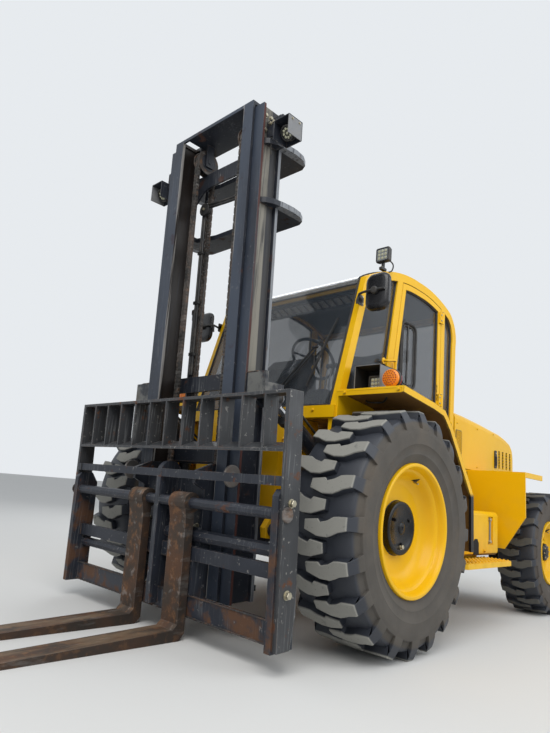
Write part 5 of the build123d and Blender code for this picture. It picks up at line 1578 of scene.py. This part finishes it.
def turn_lamp(form, x, z):
    """Round turn lamp: amber lens with dots ahead, red lens behind, rubber foot."""
    amber = [(0, 0), (0, 46), (2, 52), (14, 54), (22, 52), (28, 42), (32, 24), (33, 0)]
    form.turned(amber, (x, -54, z), AHEAD, "amber", 40)
    form.turned([(0, 56), (4, 58), (14, 58), (18, 56), (18, 0), (0, 0)], (x, -40, z), AHEAD, "plastic", 40)
    form.turned([(0, 0), (0, 52), (10, 52), (18, 44), (20, 0)], (x, -40, z), BACK, "red", 40)
    for ring, count, y in ((0, 1, -86.5), (14, 6, -86.2), (28, 12, -84.6), (41, 18, -81.6)):
        for index in range(count):
            turn = 2 * pi * index / count
            spot = (x + ring * cos(turn), y, z + ring * sin(turn))
            form.turned([(0, 5.4), (2, 4.6), (3.2, 0)], spot, AHEAD, "dot", 6)
    form.box((x - 13, x + 13), (-58, -24), (SHROUD_FLOOR + 2, z - 50), "rubber")


def make_fender_lamps():
    """Head lamps in open sheet shrouds and round turn lamps, on the front fenders."""
    form = Form()
    # Sheet steel of the shroud and its near-black inner sheets of painted shade, as x, y and z limits
    deep = (-60, 90)
    lined = (-58, 86)
    walls = [((714, 718), deep, (SHROUD_FLOOR, 1575), "grey"),
             ((893, 897), deep, (SHROUD_FLOOR - 2, 1575), "grey"),
             ((714, 897), deep, (1571, 1575), "grey"),
             ((714, 897), (86, 90), (SHROUD_FLOOR - 4, 1575), "grey"),
             ((718, 719.5), lined, (SHROUD_FLOOR, 1571), "lining_and_shade"),
             ((891.5, 893), lined, (SHROUD_FLOOR, 1571), "lining_and_shade"),
             ((719, 892), lined, (1569, 1571), "lining_and_shade"),
             ((719, 892), (84, 86), (SHROUD_FLOOR, 1571), "lining_and_shade")]
    for x, y, z, finish in walls:
        form.box(x, y, z, finish)
    for x in (735, 876):
        form.bolt((x, 20, 1575), UP, 12)
    housing = ((62, 30), (40, 40), (20, 48), (-6, 50), (-14, 48), (-14, 40), (-4, 37), (-4, 10))
    square_lamp(form, HEAD_LAMP_X, 1467, housing, 0.22, (37, -6, -3),
                (24, -5.5, [(0, 10), (2, 10), (5, 7), (6, 0)]))
    for side in (-1, 1):
        x = HEAD_LAMP_X + side * 56
        form.prism([(20, 1410), (44, 1410), (34, 1500), (10, 1500)], x - 3, x + 3, "x", "plastic")
        form.bolt((x + side * 3, 24, 1478), (side, 0, 0), 14)
    form.box((775, 895), (14, 50), (1396, 1410), "plastic")
    turn_lamp(form, 975, 1478)
    form.tube([(975, -38, 1430), (968, -20, 1408), (940, 0, 1396), (900, 10, 1392)], 5, "hose", 8, 6)
    form.tube([(740, 16, 1392), (770, 10, 1360), (820, -6, 1352), (870, 6, 1352), (905, -10, 1360),
               (930, -30, 1378), (930, -30, 1392)], 6, "hose", 8, 6)
    form.mirror()
    form.build("front_fender_lamps", "chassis", 0.5, ("fender_lamps",))


def make_roof_lamps():
    """Square work lamps on the roof's front corners, with their brackets and cables."""
    form = Form()
    housing = ((298, 36), (286, 50), (262, 54), (250, 53), (244, 50), (244, 44), (252, 42), (252, 10))
    square_lamp(form, 670, 2446, housing, 0.25, (42, 247, 251), (26, 248, [(0, 11), (3, 10), (5, 0)]))
    for x in range(634, 707, 12):
        form.box((x - 1.6, x + 1.6), (284, 297), (2410, 2482), "plastic")
    form.box((656, 672), (262, 282), (2345, 2394), "plastic")
    form.prism(rounded_rect(650, 678, 240, 300, 6), 2336.4, 2354, "z", "plastic")
    for y in (252, 290):
        form.bolt((664, y, 2354), UP, 12)
    form.tube([(670, 296, 2430), (696, 318, 2412), (704, 338, 2388), (694, 338, 2352), (676, 320, 2338)], 5,
              "hose", 8, 7)
    form.mirror()
    form.build("roof_work_lamps", "chassis", 0.5, ("roof_lamps",))


def make_mirrors():
    """Mirrors in rounded housings on bent arms."""
    form = Form()
    rings = []
    for y, inset in ((-59, 40), (-58, 26), (-52, 12), (-42, 3), (-30, 0), (-22, 0), (-20, 3), (-22, 8),
                     (-26, 9)):
        limits = (748 + inset, 922 - inset, 1925 + inset, 2172 - inset)
        rings.append([(x, y, z) for x, z in rounded_rect(*limits, 58 - min(inset, 24))])
    form.loft(rings, "gloss")
    form.prism(rounded_rect(758, 912, 1935, 2162, 34), -27, -24, "y", "mirror")
    form.turned([(0, 24), (20, 24), (26, 18), (26, 0)], (832, -58, 2048), AHEAD, "plastic", 24)
    form.tube([(905, -70, 2048), (832, -76, 2048), (760, -72, 2048), (716, -60, 2046), (702, -44, 2040),
               (697, -20, 2034), (697, 0, 2032)], 8, "plastic", 10, 6)
    form.tube([(706, -52, 2044), (698, -58, 2010), (697, -56, 1985)], 7, "plastic", 10, 5)
    socket = [(0, 20), (8, 20), (12, 14), (18, 15), (22, 10), (22, 0)]
    form.turned(socket, (CAB_SIDE + 1.3, 0, 2030), OUT, "plastic", 24)
    form.prism(rounded_rect(-24, 34, 1996, 2066, 10), CAB_SIDE + 1.3, 685, "x", "plastic")
    for z in (2008, 2054):
        form.bolt((685, 18, z), OUT, 12)
    form.mirror()
    form.build("door_mirrors", "chassis", 0.4, ("mirrors",))


# Hood, tanks and rear

HOOD_SIDE = 680
VENTS = [2258 + 84 * index for index in range(4)]


def make_hood_trim():
    """Mesh panels, latches, louvres, bolts and rear grille of the hood."""
    form = Form()
    form.prism(rounded_rect(1395, 1505, 1196, 1386, 14), HOOD_SIDE - 2, HOOD_SIDE + 3, "x", "plastic")
    for row in range(16):
        z = 1208 + row * 11.4
        form.rod((HOOD_SIDE + 3, 1402, z), (HOOD_SIDE + 3, 1498, z), 1.8, "body", 6)
    for y in range(1406, 1495, 11):
        form.rod((HOOD_SIDE + 4, y, 1202), (HOOD_SIDE + 4, y, 1380), 1.8, "body", 6)
    form.prism(rounded_rect(2160, 2206, 1146, 1302, 14), HOOD_SIDE, HOOD_SIDE + 8, "x", "plastic")
    form.prism(rounded_rect(2173, 2191, 1170, 1250, 6), HOOD_SIDE + 6, HOOD_SIDE + 18, "x", "plastic")
    form.turned([(0, 8), (4, 8), (5, 6), (5, 0)], (HOOD_SIDE + 8, 2182, 1276), OUT, "zinc", 16)
    for y in VENTS:
        # Near-black plate behind the louvres: painted shade inside the hood
        form.box((HOOD_SIDE - 24, HOOD_SIDE - 20), (y - 6, y + 40), (1144, 1312), "lining_and_shade")
        for z in range(1162, 1293, 26):
            blade = ((-16, z), (-16, z + 3), (-2, z + 19), (-2, z + 16))
            form.loft([[(HOOD_SIDE + a, end, b) for a, b in blade] for end in (y, y + 34)], "lining_and_shade")
    for z in (1120, 1440):
        for y in (1420, 1800, 2140):
            form.bolt((HOOD_SIDE - 0.5, y, z), OUT, 12, "body")
    form.mirror()
    form.prism(rounded_rect(-330, 330, 1118, 1302, 26), 2592, 2597, "y", "plastic")
    for z in range(1134, 1288, 17):
        bar = ((2596, z), (2607, z - 8), (2609, z - 6), (2597, z + 4))
        form.loft([[(x, y, height) for y, height in bar] for x in (-316, 316)], "plastic")
    for x in (-316, 0, 316):
        form.rod((x, 2602, 1124), (x, 2602, 1296), 5, "plastic", 8)
    form.build("hood_trim", "hood", 0.4)


def make_body_trim():
    """Tank gauge and caps, teeth of the steps, lamps, tow pin and bolts of the rear, and cowl hoses."""
    form = Form()
    form.prism(rounded_rect(1312, 1388, 548, 727, 16), 966, 971, "x", "frame")
    form.rod((975, 1350, 566), (975, 1350, 708), 7, "lens", 14)
    for z in (560, 714):
        form.bolt((970, 1350, z), OUT, 26)
    cap = [(0, 46), (10, 46), (12, 38), (30, 38), (34, 34), (34, 0)]
    form.turned(cap, (860, 900, 769), UP, "plastic", 32)
    # Thin near-black arch plate on the tank: painted shade of a notch
    arch = [(1065, 476), (1065, 562), (1082, 580), (1124, 580), (1148, 552), (1148, 476)]
    form.prism(arch, 979, 981.5, "x", "lining_and_shade")
    for y in (870, 1240):
        form.bolt((981.5, y, 500), OUT, 20, "frame")
    form.prism(rounded_rect(922, 1123, 664, 1356, 8), 445, 449, "z", "frame")
    tooth = [(0, 8), (2, 7), (6, 4.5), (6, 2.5), (3, 2)]
    for row in range(27):
        for column in range(7):
            place = (938 + column * 28 + (row % 2) * 7, 678 + row * 25.6, 449)
            form.turned(tooth, place, UP, "frame", 6)
    form.prism(rounded_rect(560, 660, 1012, 1062, 8), 2596, 2606, "y", "plastic")
    for x, finish in ((590, "amber"), (634, "red")):
        form.turned([(0, 20), (8, 20), (12, 14), (12, 0)], (x, 2606, 1037), BACK, finish, 24)
    form.bead((1118, 1628, 1078), (1118, 1628, 760), "body", 5)
    for x in (740, 1100):
        form.bolt((x, -185.5, 1384), AHEAD, 18, "fender")
    for y, z in ((424, 1213), (594, 998), (674, 894)):
        form.bolt((706, y, z), (0, -0.78, 0.62), 16, "fender")
    form.mirror()
    form.rod((0, 2730, 520), (0, 2730, 700), 17, "shaft", 20)
    form.turned([(0, 14), (6, 30), (22, 34), (30, 24), (32, 0)], (0, 2730, 1068), UP, "shaft", 24)
    for x in (-380, 380):
        form.rod((x, 2764, 900), (x, 2782, 900), 40, "frame", 24)
    for index, x in enumerate((-150, -110, -70, 70, 110, 150)):
        top = 930 - 20 * (index % 3)
        hose = [(x, -330, top), (x, -372, top - 5), (x * 1.1, -386, top - 70), (x * 1.15, -372, 780),
                (x * 1.1, -340, 720)]
        form.tube(hose, 10, "hose", 10, 7)
        form.turned([(0, 15), (16, 15), (16, 12), (22, 12)], (x, -331, top), AHEAD, "zinc", 6)
    form.build("body_trim", "chassis", 0)


# Operators and panel


class ForkliftOperator(Operator):
    """Shared options of the dressing steps."""

    bl_options = {"REGISTER", "UNDO"}


class FORKLIFT_OT_finishes(ForkliftOperator):
    """Make the paints, rubber, steel and glass, and put them on the CAD nodes"""

    bl_idname = "forklift.finishes"
    bl_label = "Finishes"

    def execute(self, context):
        make_finishes(context.scene.forklift_paint, context.scene.forklift_tyres)
        dress_nodes()
        return {"FINISHED"}


class FORKLIFT_OT_studio(ForkliftOperator):
    """Make the floor, surround, lamps and camera"""

    bl_idname = "forklift.studio"
    bl_label = "Studio"

    def execute(self, context):
        make_stage(context.scene.forklift_studio)
        return {"FINISHED"}


class FORKLIFT_OT_tyres(ForkliftOperator):
    """Make the four lugged tyres"""

    bl_idname = "forklift.tyres"
    bl_label = "Tyres"

    def execute(self, context):
        make_tyres(context.scene.forklift_tyres)
        return {"FINISHED"}


class FORKLIFT_OT_wheels(ForkliftOperator):
    """Make the four wheels with their hubs and nuts"""

    bl_idname = "forklift.wheels"
    bl_label = "Wheels"

    def execute(self, context):
        make_wheels()
        return {"FINISHED"}


class FORKLIFT_OT_axles(ForkliftOperator):
    """Make the fittings of both axles"""

    bl_idname = "forklift.axles"
    bl_label = "Axle fittings"

    def execute(self, context):
        make_drive_axle_fittings()
        make_knuckle_caps()
        make_steering_cylinder()
        return {"FINISHED"}


class FORKLIFT_OT_chains(ForkliftOperator):
    """Make the leaf chains and their anchors"""

    bl_idname = "forklift.chains"
    bl_label = "Lift chains"

    def execute(self, context):
        make_lift_chains()
        return {"FINISHED"}


class FORKLIFT_OT_mast_lamps(ForkliftOperator):
    """Make the shrouded work lamps of the mast"""

    bl_idname = "forklift.mast_lamps"
    bl_label = "Mast lamps"

    def execute(self, context):
        make_mast_lamps()
        return {"FINISHED"}


class FORKLIFT_OT_mast(ForkliftOperator):
    """Make hoses, bolts and weld beads of the mast and its tilt cylinders"""

    bl_idname = "forklift.mast"
    bl_label = "Mast fittings"

    def execute(self, context):
        make_outer_mast_fittings()
        make_inner_mast_fittings()
        make_tilt_fittings()
        return {"FINISHED"}


class FORKLIFT_OT_carriage(ForkliftOperator):
    """Make bolts, rollers and weld beads of the carriage"""

    bl_idname = "forklift.carriage"
    bl_label = "Carriage fittings"

    def execute(self, context):
        make_carriage_fittings()
        return {"FINISHED"}


class FORKLIFT_OT_windows(ForkliftOperator):
    """Make the rubber round the windows and the door's fittings"""

    bl_idname = "forklift.windows"
    bl_label = "Window seals"

    def execute(self, context):
        make_window_seals()
        make_door_fittings()
        return {"FINISHED"}


class FORKLIFT_OT_cab(ForkliftOperator):
    """Make wiper, grab handle, visor, headliner and bolts of the cab"""

    bl_idname = "forklift.cab"
    bl_label = "Cab trim"

    def execute(self, context):
        make_wiper()
        make_grab_handle()
        make_headliner()
        make_cab_bolts()
        return {"FINISHED"}


class FORKLIFT_OT_dash(ForkliftOperator):
    """Make the dash, the steering wheel, the levers and the pedals"""

    bl_idname = "forklift.dash"
    bl_label = "Dash"

    def execute(self, context):
        make_dash()
        return {"FINISHED"}


class FORKLIFT_OT_seat(ForkliftOperator):
    """Make the operator's seat with its two cushions"""

    bl_idname = "forklift.seat"
    bl_label = "Seat"

    def execute(self, context):
        make_seat(context.scene.forklift_seat)
        return {"FINISHED"}


class FORKLIFT_OT_lamps(ForkliftOperator):
    """Make the lamps on the fenders and the roof"""

    bl_idname = "forklift.lamps"
    bl_label = "Fender and roof lamps"

    def execute(self, context):
        make_fender_lamps()
        make_roof_lamps()
        return {"FINISHED"}


class FORKLIFT_OT_mirrors(ForkliftOperator):
    """Make the two mirrors on their arms"""

    bl_idname = "forklift.mirrors"
    bl_label = "Mirrors"

    def execute(self, context):
        make_mirrors()
        return {"FINISHED"}


class FORKLIFT_OT_hood(ForkliftOperator):
    """Make louvres, latches, bolts and the rear grille of the hood"""

    bl_idname = "forklift.hood"
    bl_label = "Hood trim"

    def execute(self, context):
        make_hood_trim()
        return {"FINISHED"}


class FORKLIFT_OT_body(ForkliftOperator):
    """Make the trim of tanks, steps, fenders and rear"""

    bl_idname = "forklift.body"
    bl_label = "Body trim"

    def execute(self, context):
        make_body_trim()
        return {"FINISHED"}


STEPS = (FORKLIFT_OT_finishes, FORKLIFT_OT_studio, FORKLIFT_OT_tyres, FORKLIFT_OT_wheels,
         FORKLIFT_OT_axles, FORKLIFT_OT_chains, FORKLIFT_OT_mast_lamps, FORKLIFT_OT_mast,
         FORKLIFT_OT_carriage, FORKLIFT_OT_windows, FORKLIFT_OT_cab, FORKLIFT_OT_dash,
         FORKLIFT_OT_seat, FORKLIFT_OT_lamps, FORKLIFT_OT_mirrors, FORKLIFT_OT_hood, FORKLIFT_OT_body)
SETTINGS = {"forklift_paint": ForkliftPaint, "forklift_tyres": ForkliftTyres, "forklift_seat": ForkliftSeat,
            "forklift_studio": ForkliftStudio}


class FORKLIFT_PT_dressing(Panel):
    """Settings and steps of the forklift's dressing"""

    bl_idname = "FORKLIFT_PT_dressing"
    bl_label = "Forklift Dressing"
    bl_space_type = "VIEW_3D"
    bl_region_type = "UI"
    bl_category = "Forklift"

    def draw(self, context):
        for name, group in SETTINGS.items():
            box = self.layout.box()
            for setting in group.__annotations__:
                box.prop(getattr(context.scene, name), setting)
        column = self.layout.column(align=True)
        for step in STEPS:
            column.operator(step.bl_idname)


def register():
    for group in SETTINGS.values():
        bpy.utils.register_class(group)
    for name, group in SETTINGS.items():
        setattr(bpy.types.Scene, name, PointerProperty(type=group))
    for step in (*STEPS, FORKLIFT_PT_dressing):
        bpy.utils.register_class(step)


def unregister():
    for step in reversed((*STEPS, FORKLIFT_PT_dressing)):
        bpy.utils.unregister_class(step)
    for name in SETTINGS:
        delattr(bpy.types.Scene, name)
    for group in reversed(SETTINGS.values()):
        bpy.utils.unregister_class(group)


def main():
    register()
    for step in STEPS:
        kind, name = step.bl_idname.split(".")
        if getattr(getattr(bpy.ops, kind), name)() != {"FINISHED"}:
            raise RuntimeError(f"{step.bl_idname} didn't finish")


if __name__ == "__main__":
    main()
